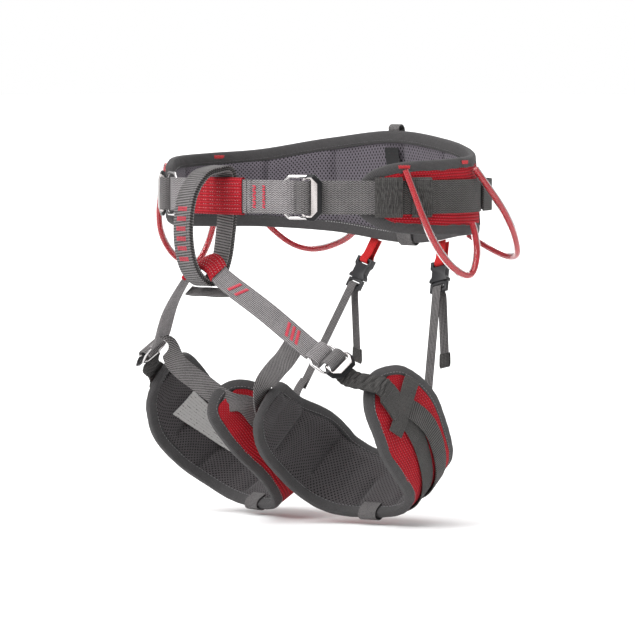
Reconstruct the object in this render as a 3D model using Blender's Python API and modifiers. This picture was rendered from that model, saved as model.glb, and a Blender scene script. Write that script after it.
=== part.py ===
"""Sit harness: padded waist belt, tie-in and belay loop, two leg loops, rear risers, gear loops.

Metres, +Z up.  The wearer faces -Y and the wearer's left side is +X.  The origin is the centre
of the waist opening at the mid height of the belt webbing.
"""

import math

import bmesh
import bpy
from mathutils import Matrix, Vector

# ---------------------------------------------------------------- driving dimensions
GAP = 0.0006                  # air between stacked layers
WAIST_A = 0.1850              # inner half width of the belt, left to right
WAIST_B = 0.1410              # inner half depth of the belt towards the front
WAIST_BACK = 0.1225           # and towards the back
BACK_FLARE = 0.19             # the back of the belt leans out at its lower edge
WAIST_STEP = 6.0              # degrees between the belt's cross lines
PAD_FRONT = 52.0              # angle from the front where the padded belt starts
WEBBING_HEIGHT = 0.0360       # waist webbing, measured up and down
WEBBING_THICK = 0.0025
LINING = 0.0015
CORE = 0.0058
SHELL = 0.0014
BINDING_RADIUS = 0.0050
BELT_TOP = ((54, 0.018), (60, 0.028), (70, 0.033), (95, 0.036), (120, 0.040), (150, 0.053), (180, 0.062))
BELT_BOTTOM = ((54, -0.020), (66, -0.033), (95, -0.037), (120, -0.038), (150, -0.043), (180, -0.054))

LEG_CENTRE = Vector((0.096, -0.062, -0.267))
LEG_PITCH = math.radians(36)  # the leg's own axis points this far below the horizontal
LEG_SPLAY = math.radians(10)  # and this far outwards
LEG_INNER = 0.086             # ring's half width towards the other leg
LEG_OUTER = 0.084             # and away from it
LEG_MIDDLE = 0.0060           # the pad's outside stays this far from the middle plane
LEG_LOW = 0.098               # half depth under the thigh
LEG_HIGH = 0.112              # half depth over the thigh
LEG_FLARE = 0.12              # the hip side of the pad opens outwards
LEG_STEP = 9.0
# pad outline: degrees from under the thigh, knee-side edge, hip-side edge along the leg's axis
LEG_RIM = (
    (-128, 0.033, -0.022), (-100, 0.036, -0.048), (-64, 0.023, -0.080), (-28, 0.012, -0.088),
    (8, 0.007, -0.078), (40, 0.010, -0.068), (70, 0.024, -0.062), (98, 0.031, -0.063),
    (118, 0.026, -0.058), (134, 0.014, -0.046),
)
LEG_WEB = 0.0270
LEG_WEB_THICK = 0.0022
LEG_LINING = 0.0014
LEG_CORE = 0.0052
LEG_BINDING = 0.0045

BELAY_WIDTH = 0.0250
BELAY_THICK = 0.0068
# centre line of the belay loop in its own plane: (y, z)
BELAY_PATH = (
    (-0.1660, 0.0282), (-0.1860, 0.0225), (-0.2030, 0.0030), (-0.2100, -0.0250),
    (-0.2090, -0.0540), (-0.2000, -0.0790), (-0.1820, -0.0930), (-0.1640, -0.0880),
    (-0.1530, -0.0680), (-0.1475, -0.0400), (-0.1445, -0.0150), (-0.1435, 0.0080),
    (-0.1490, 0.0278),
)

TUBE_RADIUS = 0.0042
TUBE_WALL = 0.0009
CORE_RADIUS = 0.0027

# gear loops on the left side; the right side is their mirror image
GEAR_FRONT = (
    (0.1850, -0.0590, 0.0290), (0.1955, -0.0565, 0.0040), (0.2060, -0.0520, -0.0240),
    (0.2130, -0.0410, -0.0510), (0.2160, -0.0210, -0.0730), (0.2155, 0.0020, -0.0840),
    (0.2130, 0.0170, -0.0805), (0.2090, 0.0270, -0.0620), (0.2030, 0.0300, -0.0410),
    (0.1990, 0.0300, -0.0300),
)
GEAR_REAR = (
    (0.1915, 0.0425, 0.0290), (0.1970, 0.0560, 0.0100), (0.1980, 0.0780, -0.0140),
    (0.1930, 0.1000, -0.0380), (0.1800, 0.1220, -0.0600), (0.1640, 0.1350, -0.0690),
    (0.1420, 0.1420, -0.0690), (0.1120, 0.1450, -0.0600), (0.0880, 0.1420, -0.0480),
)

RISER_X = 0.0550              # where each rear strap leaves the belt
RISER_TOP = Vector((RISER_X, 0.1340, -0.0680))
RISER_END = Vector((0.1000, 0.0660, -0.2320))

# buckles: a steel ring against the webbing and a dark frame over it, in the webbing's own plane
BUCKLE_ANGLE = 31.0           # middle of each waist buckle, degrees from the front
RING_LENGTH = 0.0360
RING_HOLE = 0.0290
RING_CENTRE = -0.0030
RING_THICK = 0.0024
RING_OFF = 0.0042             # middle of the ring, outwards from the webbing
FRAME_LENGTH = 0.0220
FRAME_CENTRE = 0.0142
FRAME_HOLE = 0.0139
FRAME_HOLE_CENTRE = 0.01335
FRAME_THICK = 0.0028
FRAME_OFF = 0.0078            # middle of the frame, outwards from the webbing
SLOT_ROOM = 0.0034            # how much taller the buckles' holes are than the webbing
# the webbing's fold over the frame's bar: along the strap, outwards
FOLD = ((-0.0100, 0.0), (-0.0005, 0.0008), (0.0009, 0.0064), (0.0014, 0.0096), (0.0050, 0.0128),
        (0.0086, 0.0096), (0.0090, 0.0064), (0.0092, 0.0034))
LEG_BUCKLE = Vector((0.1350, -0.1240, -0.1760))
LEG_BUCKLE_RUN = Vector((0.115, 0.062, -0.086))
TIE_IN = Vector((0.0, -0.1755, -0.0705))
TIE_IN_WIDE = Vector((0.0, -0.88, -0.47))
STRAP_START = Vector((0.0290, -0.1775, -0.0890))
CROTCH_START = Vector((0.0960, -0.1420, -0.1620))
CROTCH_WIDE = Vector((0.65, 0.05, -0.76))

GREY = (0.105, 0.103, 0.105)
LIGHT_GREY = (0.20, 0.20, 0.205)
DARK = (0.012, 0.012, 0.013)
RED = (0.36, 0.012, 0.022)
STEEL = (0.55, 0.53, 0.52)
LABEL = (0.72, 0.72, 0.70)

SIDES = (("left", 1.0), ("right", -1.0))


# ---------------------------------------------------------------- scene helpers
def clear_scene():
    for obj in list(bpy.data.objects):
        bpy.data.objects.remove(obj, do_unlink=True)


def collection(name):
    made = bpy.data.collections.new(name)
    bpy.context.scene.collection.children.link(made)
    return made


def material(name, colour, roughness, metallic=0.0):
    made = bpy.data.materials.new(name)
    made.use_nodes = True
    shader = made.node_tree.nodes["Principled BSDF"]
    shader.inputs["Base Color"].default_value = (*colour, 1.0)
    shader.inputs["Roughness"].default_value = roughness
    shader.inputs["Metallic"].default_value = metallic
    return made


def add_object(name, data, colour, roughness=0.8, metallic=0.0, matrix=None):
    obj = bpy.data.objects.new(name, data)
    PARTS.objects.link(obj)
    data.materials.append(material(name, colour, roughness, metallic))
    if matrix is not None:
        obj.matrix_world = matrix
    return obj


def solidify(obj, thickness, offset=0.0):
    wall = obj.modifiers.new("wall", "SOLIDIFY")
    wall.thickness = thickness
    wall.offset = offset
    return obj


def mirrored(point, side):
    return Vector((point[0] * side, point[1], point[2]))


def smooth_line(points, count, closed=False):
    """Catmull-Rom curve through the points, with even steps of its parameter."""
    points = [Vector(p) for p in points]
    spans = len(points) if closed else len(points) - 1
    line = []
    for step in range(count + (0 if closed else 1)):
        place = spans * step / count
        index = min(int(place), spans - 1)
        t = place - index
        near = []
        for shift in (-1, 0, 1, 2):
            at = index + shift
            near.append(points[at % len(points)] if closed else points[max(0, min(len(points) - 1, at))])
        a, b, c, d = near
        line.append(0.5 * ((2 * b) + (c - a) * t + (2 * a - 5 * b + 4 * c - d) * t * t
                           + (3 * b - a - 3 * c + d) * t ** 3))
    return line


def between(stations, at):
    """Smooth value at a place along (place, value, ...) stations."""
    values = [Vector((*row, 0.0, 0.0)[:3]) for row in stations]
    if at <= values[0].x:
        return values[0]
    for left, right in zip(values, values[1:]):
        if at <= right.x:
            t = (at - left.x) / (right.x - left.x)
            t = t * t * (3 - 2 * t)
            return left.lerp(right, t)
    return values[-1]


# ---------------------------------------------------------------- shape helpers
def sheet(name, place, along, across, thickness, colour, closed=False, roughness=0.85):
    """A grid bent to place(u, v), given its thickness."""
    mesh = bpy.data.meshes.new(name)
    grid = bmesh.new()
    bmesh.ops.create_grid(grid, x_segments=along, y_segments=across, size=0.5)
    for vert in grid.verts:
        vert.co = place(round((vert.co.x + 0.5) * along) / along, round((vert.co.y + 0.5) * across) / across)
    if closed:
        bmesh.ops.remove_doubles(grid, verts=grid.verts, dist=1e-6)
    grid.to_mesh(mesh)
    grid.free()
    return solidify(add_object(name, mesh, colour, roughness), thickness)


def band(name, points, wides, width, thickness, colour, count, closed=False, roughness=0.85, taper=None):
    """Flat webbing along a smooth line; wides gives the direction of its width at each point."""
    line = smooth_line(points, count, closed)
    turns = smooth_line(wides, count, closed)

    def place(u, v):
        index = round(u * count) % len(line) if closed else round(u * count)
        share = taper(u) if taper else 1.0
        return line[index] + turns[index].normalized() * width * share * (v - 0.5)

    return sheet(name, place, count, 1, thickness, colour, closed, roughness)


def sleeve(name, points, wides, width, depth, wall, colour, count):
    """A flat fabric tube round a strap, open at both ends."""
    line = smooth_line(points, count)
    turns = smooth_line(wides, count)
    corner = 0.35
    outline = ((-1, -corner), (-1, corner), (-0.94, 1), (0.94, 1), (1, corner), (1, -corner), (0.94, -1), (-0.94, -1))

    def place(u, v):
        index = round(u * count)
        ahead = line[min(index + 1, count)] - line[max(index - 1, 0)]
        wide = turns[index].normalized()
        deep = ahead.cross(wide).normalized()
        x, y = outline[round(v * len(outline)) % len(outline)]
        return line[index] + wide * x * width / 2 + deep * y * depth / 2

    return sheet(name, place, count, len(outline), wall, colour, closed=True, roughness=0.9)


def tube(name, line, radius, colour, closed=False, sides=1, caps=True, roughness=0.5):
    curve = bpy.data.curves.new(name, "CURVE")
    curve.dimensions = "3D"
    curve.bevel_depth = radius
    curve.bevel_resolution = sides
    curve.use_fill_caps = caps and not closed
    spline = curve.splines.new("POLY")
    spline.points.add(len(line) - 1)
    for point, at in zip(spline.points, line):
        point.co = (*at, 1.0)
    spline.use_cyclic_u = closed
    return add_object(name, curve, colour, roughness)


def chamfered(width, height, cut, centre=(0.0, 0.0)):
    x, y = width / 2, height / 2
    corners = ((x, y - cut), (x - cut, y), (-x + cut, y), (-x, y - cut),
               (-x, -y + cut), (-x + cut, -y), (x - cut, -y), (x, -y + cut))
    return [(centre[0] + a, centre[1] + b) for a, b in corners]


def plate(name, outlines, thickness, matrix, colour, roughness, metallic):
    """A flat plate in its own XY plane; the first outline is its rim, the others are holes."""
    curve = bpy.data.curves.new(name, "CURVE")
    curve.dimensions = "2D"
    curve.fill_mode = "BOTH"
    curve.extrude = thickness / 2
    for outline in outlines:
        spline = curve.splines.new("POLY")
        spline.points.add(len(outline) - 1)
        for point, at in zip(spline.points, outline):
            point.co = (*at, 0.0, 1.0)
        spline.use_cyclic_u = True
    return add_object(name, curve, colour, roughness, metallic, matrix)


def axes(origin, x_axis, y_axis):
    """Matrix of a frame with the given origin and its first two directions."""
    x = x_axis.normalized()
    z = x.cross(y_axis).normalized()
    y = z.cross(x)
    return Matrix.Translation(origin) @ Matrix((x, y, z)).transposed().to_4x4()


# ---------------------------------------------------------------- belt geometry
def waist(degrees, z, off):
    """A point on the belt: angle from the front (left side positive), height, distance outwards."""
    angle = math.radians(degrees)
    rear = max(0.0, -math.cos(angle))
    depth = WAIST_B + (WAIST_BACK - WAIST_B) * (3 - 2 * rear) * rear * rear
    reach = off - BACK_FLARE * z * rear * rear
    return Vector(((WAIST_A + reach) * math.sin(angle), -(depth + reach) * math.cos(angle), z))


def belt_edge(table, degrees):
    around = min(degrees, 360.0 - degrees)
    return between(table, around).y


def belt_strip(name, start, end, inset, off, thickness, colour):
    """A strip of the belt between two angles, inset from the belt's edges."""
    count = max(2, round((end - start) / WAIST_STEP))

    def place(u, v):
        degrees = start + (end - start) * u
        top = belt_edge(BELT_TOP, degrees) - inset
        bottom = belt_edge(BELT_BOTTOM, degrees) + inset
        return waist(degrees, bottom + (top - bottom) * v, off)

    return sheet(name, place, count, 1, thickness, colour)


OFF_LINING = LINING / 2
OFF_CORE = LINING + GAP + CORE / 2
OFF_SHELL = LINING + CORE + 2 * GAP + SHELL / 2
OFF_WEB = LINING + CORE + SHELL + 3 * GAP + WEBBING_THICK / 2
OFF_BINDING = (LINING + CORE + SHELL + 2 * GAP) / 2
BINDING_INSET = BINDING_RADIUS + 0.0010


def binding_line():
    """The belt's edge, all the way round, as a closed line of points on the belt."""
    left = [(d, z) for d, z in reversed(BELT_TOP)] + [(PAD_FRONT - 1.0, -0.003)] + list(BELT_BOTTOM)
    right = [(360.0 - d, z) for d, z in reversed(left[1:-1])]
    outline = smooth_line([(d, z * 1000.0, 0.0) for d, z in left + right], 84, closed=True)
    return [waist(p.x, p.y / 1000.0, OFF_BINDING) for p in outline]


def build_belt():
    start = PAD_FRONT + 8.0
    belt_strip("waist_lining", start, 360 - start, BINDING_INSET, OFF_LINING, LINING, GREY)
    for name, ends in (("left", (start, 179.85)), ("right", (180.15, 360 - start))):
        belt_strip("waist_pad_core_" + name, *ends, BINDING_INSET, OFF_CORE, CORE, DARK)
    for name, side in SIDES:
        ends = (start, 126.0) if side > 0 else (234.0, 360 - start)
        belt_strip("hip_panel_" + name, *ends, BINDING_INSET, OFF_SHELL, SHELL, RED)
    belt_strip("back_panel", 126.4, 233.6, BINDING_INSET, OFF_SHELL, SHELL, GREY)
    tube("waist_binding", binding_line(), BINDING_RADIUS, GREY, closed=True, roughness=0.85)


def belt_web(name, start, end, off, colour, height=WEBBING_HEIGHT, thickness=WEBBING_THICK, lift=None):
    count = max(3, round((end - start) / WAIST_STEP))

    def place(u, v):
        degrees = start + (end - start) * u
        proud = lift(degrees) if lift else 0.0
        return waist(degrees, height * (v - 0.5), off + proud)

    return sheet(name, place, count, 1, thickness, colour)


# ---------------------------------------------------------------- waist buckles
def buckle_matrix(side):
    middle = waist(BUCKLE_ANGLE * side, 0.0, OFF_WEB)
    ahead = waist((BUCKLE_ANGLE + 1) * side, 0.0, OFF_WEB) - waist((BUCKLE_ANGLE - 1) * side, 0.0, OFF_WEB)
    out = ahead.cross(Vector((0, 0, 1))) * side
    return middle, ahead.normalized(), out.normalized()


def buckle_plates(name, origin, along, out, wide, ring_name, frame_name, height):
    """Steel ring against the webbing, dark frame over it; both hold the folded webbing."""
    def at(distance):
        return axes(origin + out * distance, along, wide)

    ring = [chamfered(RING_LENGTH, height + 0.0120, 0.0060, (RING_CENTRE, 0)),
            chamfered(RING_HOLE, height + SLOT_ROOM, 0.0010, (RING_CENTRE, 0))]
    plate(ring_name + name, ring, RING_THICK, at(RING_OFF), STEEL, 0.25, 1.0)
    frame = [chamfered(FRAME_LENGTH, height + 0.0140, 0.0075, (FRAME_CENTRE, 0)),
             chamfered(FRAME_HOLE, height + SLOT_ROOM, 0.0010, (FRAME_HOLE_CENTRE, 0))]
    plate(frame_name + name, frame, FRAME_THICK, at(FRAME_OFF), DARK, 0.35, 1.0)


def build_waist_webbing():
    points = []
    for degrees in range(-20, 21, 8):
        points.append(waist(degrees, 0.0, OFF_WEB))
    ends = {}
    for name, side in SIDES:
        origin, along, out = buckle_matrix(side)
        ends[name] = [origin + along * x + out * y for x, y in FOLD]
    points = list(reversed(ends["right"])) + points + ends["left"]
    up = [Vector((0, 0, 1))] * len(points)
    band("front_webbing", points, up, WEBBING_HEIGHT, 0.0020, LIGHT_GREY, 60)
    for name, side in SIDES:
        origin, along, out = buckle_matrix(side)
        buckle_plates(name, origin, along, out, Vector((0, 0, 1)) * side,
                      "waist_buckle_ring_", "waist_buckle_frame_", WEBBING_HEIGHT)
        hip = (36.5, 125.0) if side > 0 else (235.0, 323.5)
        belt_web("hip_webbing_" + name, *hip, OFF_WEB, GREY)

    def bow(degrees):
        return 0.0012 + 0.012 * math.sin(math.radians((degrees - 126) / 108 * 360)) ** 2

    belt_web("rear_webbing", 126.0, 234.0, OFF_WEB, GREY, lift=bow)
    sleeve_points = [waist(d, 0.0, OFF_WEB) for d in (-14, -8, -2.5, 3, 9)]
    sleeve("upper_tie_in_sleeve", sleeve_points, [Vector((0, 0, 1))] * 5,
           WEBBING_HEIGHT + 0.0032, WEBBING_THICK + 0.0026, 0.0009, RED, 8)


def build_belt_trim():
    top = belt_edge(BELT_TOP, 180.0)
    back = waist(180.0, top, OFF_BINDING).y
    hang = [(0, back + 0.0076, top - 0.007), (0, back + 0.0068, top + 0.005), (0, back, top + 0.0125),
            (0, back - 0.0068, top + 0.005), (0, back - 0.0062, top - 0.007)]
    band("hang_loop", hang, [Vector((1, 0, 0))] * 5, 0.016, 0.0014, DARK, 14)
    label_off = -0.0010

    def label(u, v):
        return waist(176.5 + 7 * u, 0.028 + 0.020 * v, label_off)

    sheet("size_label", label, 3, 1, 0.0008, DARK)
    bottom = belt_edge(BELT_BOTTOM, 180.0)
    back = waist(180.0, bottom, OFF_BINDING).y
    tab = [(0, back - 0.0090, bottom + 0.012), (0, back - 0.0070, bottom - 0.001),
           (0, back, bottom - 0.0072), (0, back + 0.0068, bottom - 0.002),
           (0, back + 0.0064, bottom + 0.010)]
    band("belt_bottom_tab", tab, [Vector((1, 0, 0))] * 5, 0.020, 0.0014, GREY, 14)


# ---------------------------------------------------------------- belay loop and tie-in
def build_belay_loop():
    points = [(0.0, y, z) for y, z in BELAY_PATH]
    band("belay_loop", points, [Vector((1, 0, 0))] * len(points), BELAY_WIDTH, BELAY_THICK, GREY, 40, closed=True)


# ---------------------------------------------------------------- leg loops
FORWARD = Vector((math.sin(LEG_SPLAY), -math.cos(LEG_SPLAY), 0))
LEG_X = Vector((math.cos(LEG_SPLAY), math.sin(LEG_SPLAY), 0))
LEG_N = FORWARD * math.cos(LEG_PITCH) - Vector((0, 0, math.sin(LEG_PITCH)))
LEG_M = FORWARD * math.sin(LEG_PITCH) + Vector((0, 0, math.cos(LEG_PITCH)))


def leg(degrees, along, off, side=1.0):
    """A point on a leg loop: angle from under the thigh (outwards positive), place along the leg."""
    angle = math.radians(degrees)
    half = LEG_OUTER if math.sin(angle) > 0 else LEG_INNER
    deep = LEG_LOW if math.cos(angle) > 0 else LEG_HIGH
    power = 2.0 + 0.8 * (0.5 + 0.5 * math.cos(angle))
    reach = ((abs(math.sin(angle)) / half) ** power + (abs(math.cos(angle)) / deep) ** power) ** (-1 / power)
    reach += off - LEG_FLARE * along * (0.5 + 0.5 * math.sin(angle))
    point = LEG_CENTRE + LEG_X * reach * math.sin(angle) - LEG_M * reach * math.cos(angle) + LEG_N * along
    point.x = max(point.x, LEG_MIDDLE - off)
    return mirrored(point, side)


def leg_edges(degrees):
    row = between(LEG_RIM, degrees)
    return row.y, row.z


def leg_strip(name, start, end, inset, off, thickness, colour, side):
    count = max(2, round((end - start) / LEG_STEP))

    def place(u, v):
        degrees = start + (end - start) * u
        knee, hip = leg_edges(degrees)
        return leg(degrees, knee - inset + (hip - knee + 2 * inset) * v, off, side)

    return sheet(name, place, count, 1, thickness, colour)


def leg_binding_line(side):
    knee = [(d, k, 0.0) for d, k, h in LEG_RIM]
    hip = [(d, h, 0.0) for d, k, h in reversed(LEG_RIM)]
    tip_in = (LEG_RIM[0][0] - 8.0, 0.5 * (LEG_RIM[0][1] + LEG_RIM[0][2]), 0.0)
    tip_out = (LEG_RIM[-1][0] + 9.0, 0.5 * (LEG_RIM[-1][1] + LEG_RIM[-1][2]), 0.0)
    outline = knee + [tip_out] + hip + [tip_in]
    scaled = [(d, k * 1000.0, 0.0) for d, k, z in outline]
    off = -0.5 * (LEG_LINING + LEG_CORE + SHELL + 2 * GAP)
    return [leg(p.x, p.y / 1000.0, off, side) for p in smooth_line(scaled, 66, closed=True)]


def leg_band(name, route, width, thickness, colour, side, count, off):
    """Webbing that follows a route of (angle, place along the leg) over the outside of the pad."""
    steps = smooth_line([(d, w * 1000.0, 0.0) for d, w in route], count)
    points = [leg(p.x, p.y / 1000.0, off, side) for p in steps]
    wides = []
    for index, step in enumerate(steps):
        ahead = points[min(index + 1, count)] - points[max(index - 1, 0)]
        angle = math.radians(step.x)
        outward = mirrored(LEG_X * math.sin(angle) - LEG_M * math.cos(angle), side)
        wides.append(ahead.cross(outward).normalized())
    return band(name, points, wides, width, thickness, colour, count)


def leg_buckle_frame(side):
    along = mirrored(LEG_BUCKLE_RUN, side).normalized()
    wide = mirrored(LEG_N, side)
    wide = (wide - along * wide.dot(along)).normalized()
    out = along.cross(wide).normalized()
    if out.z < 0:
        out = -out
    return mirrored(LEG_BUCKLE, side), along, wide, out


def tie_in_taper(u):
    """The leg strap is narrower where it runs through the lower tie-in sleeve."""
    return 1.0 - 0.18 * max(0.0, 1.0 - abs(u - 0.5) / 0.12)


def build_leg_strap():
    half = [TIE_IN, TIE_IN + Vector((0.0130, -0.0010, -0.0045)), STRAP_START]
    middle = STRAP_START.lerp(LEG_BUCKLE, 0.42) + Vector((0.0015, -0.0035, 0.0020))
    half.append(middle)
    origin, along, wide, out = leg_buckle_frame(1.0)
    half.append(origin - along * 0.0180)
    half += [origin + along * x + out * y for x, y in FOLD]
    wides = [TIE_IN_WIDE, TIE_IN_WIDE + Vector((0.05, 0, 0))] + [wide] * (len(half) - 2)
    points = [mirrored(p, -1) for p in reversed(half[1:])] + half
    turns = [mirrored(w, -1) for w in reversed(wides[1:])] + wides
    count = 96
    line, facing = smooth_line(points, count), smooth_line(turns, count)
    band("leg_strap", line, facing, LEG_WEB, 0.0020, LIGHT_GREY, count, taper=tie_in_taper)
    first, last = count // 2 - 8, count // 2 + 9
    sleeve("lower_tie_in_sleeve", line[first:last], facing[first:last], LEG_WEB * 0.92 + 0.0030, 0.0054,
           0.0010, RED, 16)
    bridge = [(-0.034, -0.1700, -0.1030), (-0.018, -0.1745, -0.1035), (0, -0.1765, -0.1030),
              (0.018, -0.1745, -0.1035), (0.034, -0.1700, -0.1030)]
    band("bridge_strap", bridge, [Vector((0, -0.80, -0.60))] * 5, 0.0140, 0.0018, GREY, 12)


def build_leg(name, side):
    first, last = LEG_RIM[0][0] + 3.0, LEG_RIM[-1][0] - 0.5
    inset = LEG_BINDING + 0.0030
    shell_mid = -SHELL / 2
    core_mid = -SHELL - GAP - LEG_CORE / 2
    lining_mid = -SHELL - LEG_CORE - 2 * GAP - LEG_LINING / 2
    leg_strip("leg_panel_" + name, first, last, inset, shell_mid, SHELL, RED, side)
    leg_strip("leg_pad_core_" + name, first, last, inset, core_mid, LEG_CORE, DARK, side)
    leg_strip("leg_lining_" + name, first, last, inset, lining_mid, LEG_LINING, GREY, side)
    tube("leg_binding_" + name, leg_binding_line(side), LEG_BINDING, GREY, closed=True, roughness=0.85)
    over = GAP + LEG_WEB_THICK / 2 + 0.0011
    cross = ((109, 0.018), (112, -0.002), (115, -0.022), (117, -0.046))
    leg_band("leg_cross_webbing_" + name, cross, 0.0180, 0.0018, GREY, side, 8, over)
    wrap = ((101, -0.024), (88, -0.030), (70, -0.030), (48, -0.026), (25, -0.024), (0, -0.021))
    leg_band("leg_wrap_webbing_" + name, wrap, 0.0230, 0.0018, GREY, side, 24, over)
    origin, along, wide, out = leg_buckle_frame(side)
    buckle_plates(name, origin, along, out, wide * (1 if along.cross(wide).dot(out) > 0 else -1),
                  "leg_buckle_ring_", "leg_buckle_frame_", LEG_WEB)
    tail = [origin + along * 0.0160 + out * 0.0010, origin + along * 0.0300 - out * 0.0010,
            leg(133, -0.013, 0.0068, side), leg(127, -0.015, 0.0050, side)]
    band("leg_adjust_sleeve_" + name, tail, [wide] * 2 + [mirrored(LEG_N, side)] * 2,
         0.0250, 0.0026, DARK, 10)
    crotch = [mirrored(CROTCH_START, side), mirrored(CROTCH_START, side).lerp(leg(-136, 0.004, 0.0060, side), 0.5),
              leg(-136, 0.004, 0.0060, side), leg(-126, 0.004, 0.0040, side), leg(-114, 0.003, 0.0034, side)]
    turn, flat = mirrored(CROTCH_WIDE, side), mirrored(LEG_N, side)
    band("crotch_strap_" + name, crotch, [turn, turn.lerp(flat, 0.3), turn.lerp(flat, 0.85), flat, flat],
         0.0230, 0.0018, LIGHT_GREY, 16)


def build_leg_trim():
    off = -(SHELL + LEG_CORE + LEG_LINING + 2 * GAP) - 0.0010

    def label(u, v):
        return leg(66 + 48 * u, -0.040 + 0.046 * v, off, -1.0)

    sheet("care_label", label, 6, 1, 0.0005, LABEL)


# ---------------------------------------------------------------- gear loops
def build_gear_loops():
    for place, points in (("front", GEAR_FRONT), ("rear", GEAR_REAR)):
        for name, side in SIDES:
            line = smooth_line([mirrored(p, side) for p in points], 20)
            pipe = tube(f"gear_tube_{place}_{name}", line, TUBE_RADIUS, RED, sides=2, caps=False, roughness=0.1)
            solidify(pipe, TUBE_WALL, -1.0)
            tube(f"gear_core_{place}_{name}", line, CORE_RADIUS, RED, sides=1, roughness=0.7)


# ---------------------------------------------------------------- rear risers
def build_riser(name, side):
    top = mirrored(RISER_TOP, side)
    end = mirrored(RISER_END, side)
    down = (end - top).normalized()
    wide = Vector((1, 0, 0)) * side
    wide = (wide - down * wide.dot(down)).normalized()
    back = down.cross(wide).normalized()
    if back.y < 0:
        back = -back

    def at(distance, proud=0.0):
        return top + down * distance + back * proud

    tab = [at(-0.004, 0.0026), at(0.0060, 0.0048), at(0.0110, 0.0052), at(0.0152, 0.0040), at(0.0164, 0.0),
           at(0.0152, -0.0040), at(0.0110, -0.0052), at(0.0060, -0.0048), at(-0.004, -0.0026)]
    band("riser_tab_" + name, tab, [wide] * 9, 0.0150, 0.0012, RED, 24)
    frame = axes(at(0.0240), wide * side, -down)
    body = [(-0.0125, 0.0130), (-0.0125, 0.0045), (-0.0098, 0.0015), (-0.0098, -0.0060), (-0.0125, -0.0090),
            (-0.0125, -0.0120), (0.0125, -0.0120), (0.0125, -0.0090), (0.0098, -0.0060), (0.0098, 0.0015),
            (0.0125, 0.0045), (0.0125, 0.0130)]
    slot = chamfered(0.0175, 0.0045, 0.0010, (0, 0.0082))
    socket = plate("riser_socket_" + name, [body, slot], 0.0072, frame, DARK, 0.45, 0.0)
    mesh = bpy.data.meshes.new_from_object(socket.evaluated_get(bpy.context.evaluated_depsgraph_get()))
    place = socket.matrix_world.copy()
    bpy.data.objects.remove(socket, do_unlink=True)
    welded = bmesh.new()
    welded.from_mesh(mesh)
    bmesh.ops.remove_doubles(welded, verts=welded.verts, dist=1e-6)
    welded.to_mesh(mesh)
    welded.free()
    socket = bpy.data.objects.new("riser_socket_" + name, mesh)
    PARTS.objects.link(socket)
    socket.matrix_world = place
    hollow = bpy.data.meshes.new("hollow")
    box = bmesh.new()
    bmesh.ops.create_cube(box, size=1.0)
    bmesh.ops.scale(box, verts=box.verts, vec=(0.0168, 0.0170, 0.0052))
    bmesh.ops.translate(box, verts=box.verts, vec=(0, -0.0050, 0))
    box.to_mesh(hollow)
    box.free()
    cutter = bpy.data.objects.new("socket_hollow_" + name, hollow)
    CUTTERS.objects.link(cutter)
    cutter.matrix_world = place
    cutter.display_type = "WIRE"
    cutter.hide_render = True
    cut = socket.modifiers.new("hollow", "BOOLEAN")
    cut.object = cutter
    cut.operation = "DIFFERENCE"
    plug = [(-0.0118, -0.0128), (-0.0118, -0.0240), (0.0118, -0.0240), (0.0118, -0.0128), (0.0078, -0.0128),
            (0.0078, 0.0028), (0.0052, 0.0028), (0.0040, -0.0110), (0.0016, -0.0110), (0.0010, -0.0010),
            (-0.0010, -0.0010), (-0.0016, -0.0110), (-0.0040, -0.0110), (-0.0052, 0.0028), (-0.0078, 0.0028),
            (-0.0078, -0.0128)]
    slot = chamfered(0.0165, 0.0048, 0.0010, (0, -0.0180))
    plate("riser_plug_" + name, [plug, slot], 0.0042, frame, DARK, 0.45, 0.0)
    hang = at(0.0540, 0.0070)
    drop = Vector((0, 0.002, -0.034))
    strap = [at(0.1740, -0.0036), at(0.1200, -0.0036), at(0.0700, -0.0036), at(0.0480, -0.0036),
             at(0.0425, -0.0028), at(0.0413, 0.0), at(0.0425, 0.0028), at(0.0480, 0.0042),
             hang, hang + drop, hang + drop * 2.2]
    band("riser_strap_" + name, strap, [wide] * 11, 0.0120, 0.0012, LIGHT_GREY, 40)


# ---------------------------------------------------------------- build
clear_scene()
PARTS = collection("climbing_harness")
CUTTERS = collection("cutters")
build_belt()
build_waist_webbing()
build_belt_trim()
build_belay_loop()
build_leg_strap()
for label, sign in SIDES:
    build_leg(label, sign)
build_leg_trim()
build_gear_loops()
for label, sign in SIDES:
    build_riser(label, sign)
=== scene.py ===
"""Finished look of the sit harness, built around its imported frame.

Every fabric piece repeats the belt's and the leg loops' own curved surfaces, so it lies on its solid.
"""
import math
from contextlib import contextmanager

import bpy
import numpy as np
from bpy.props import FloatProperty, FloatVectorProperty, IntProperty, PointerProperty
from mathutils import Matrix, Vector


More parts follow.
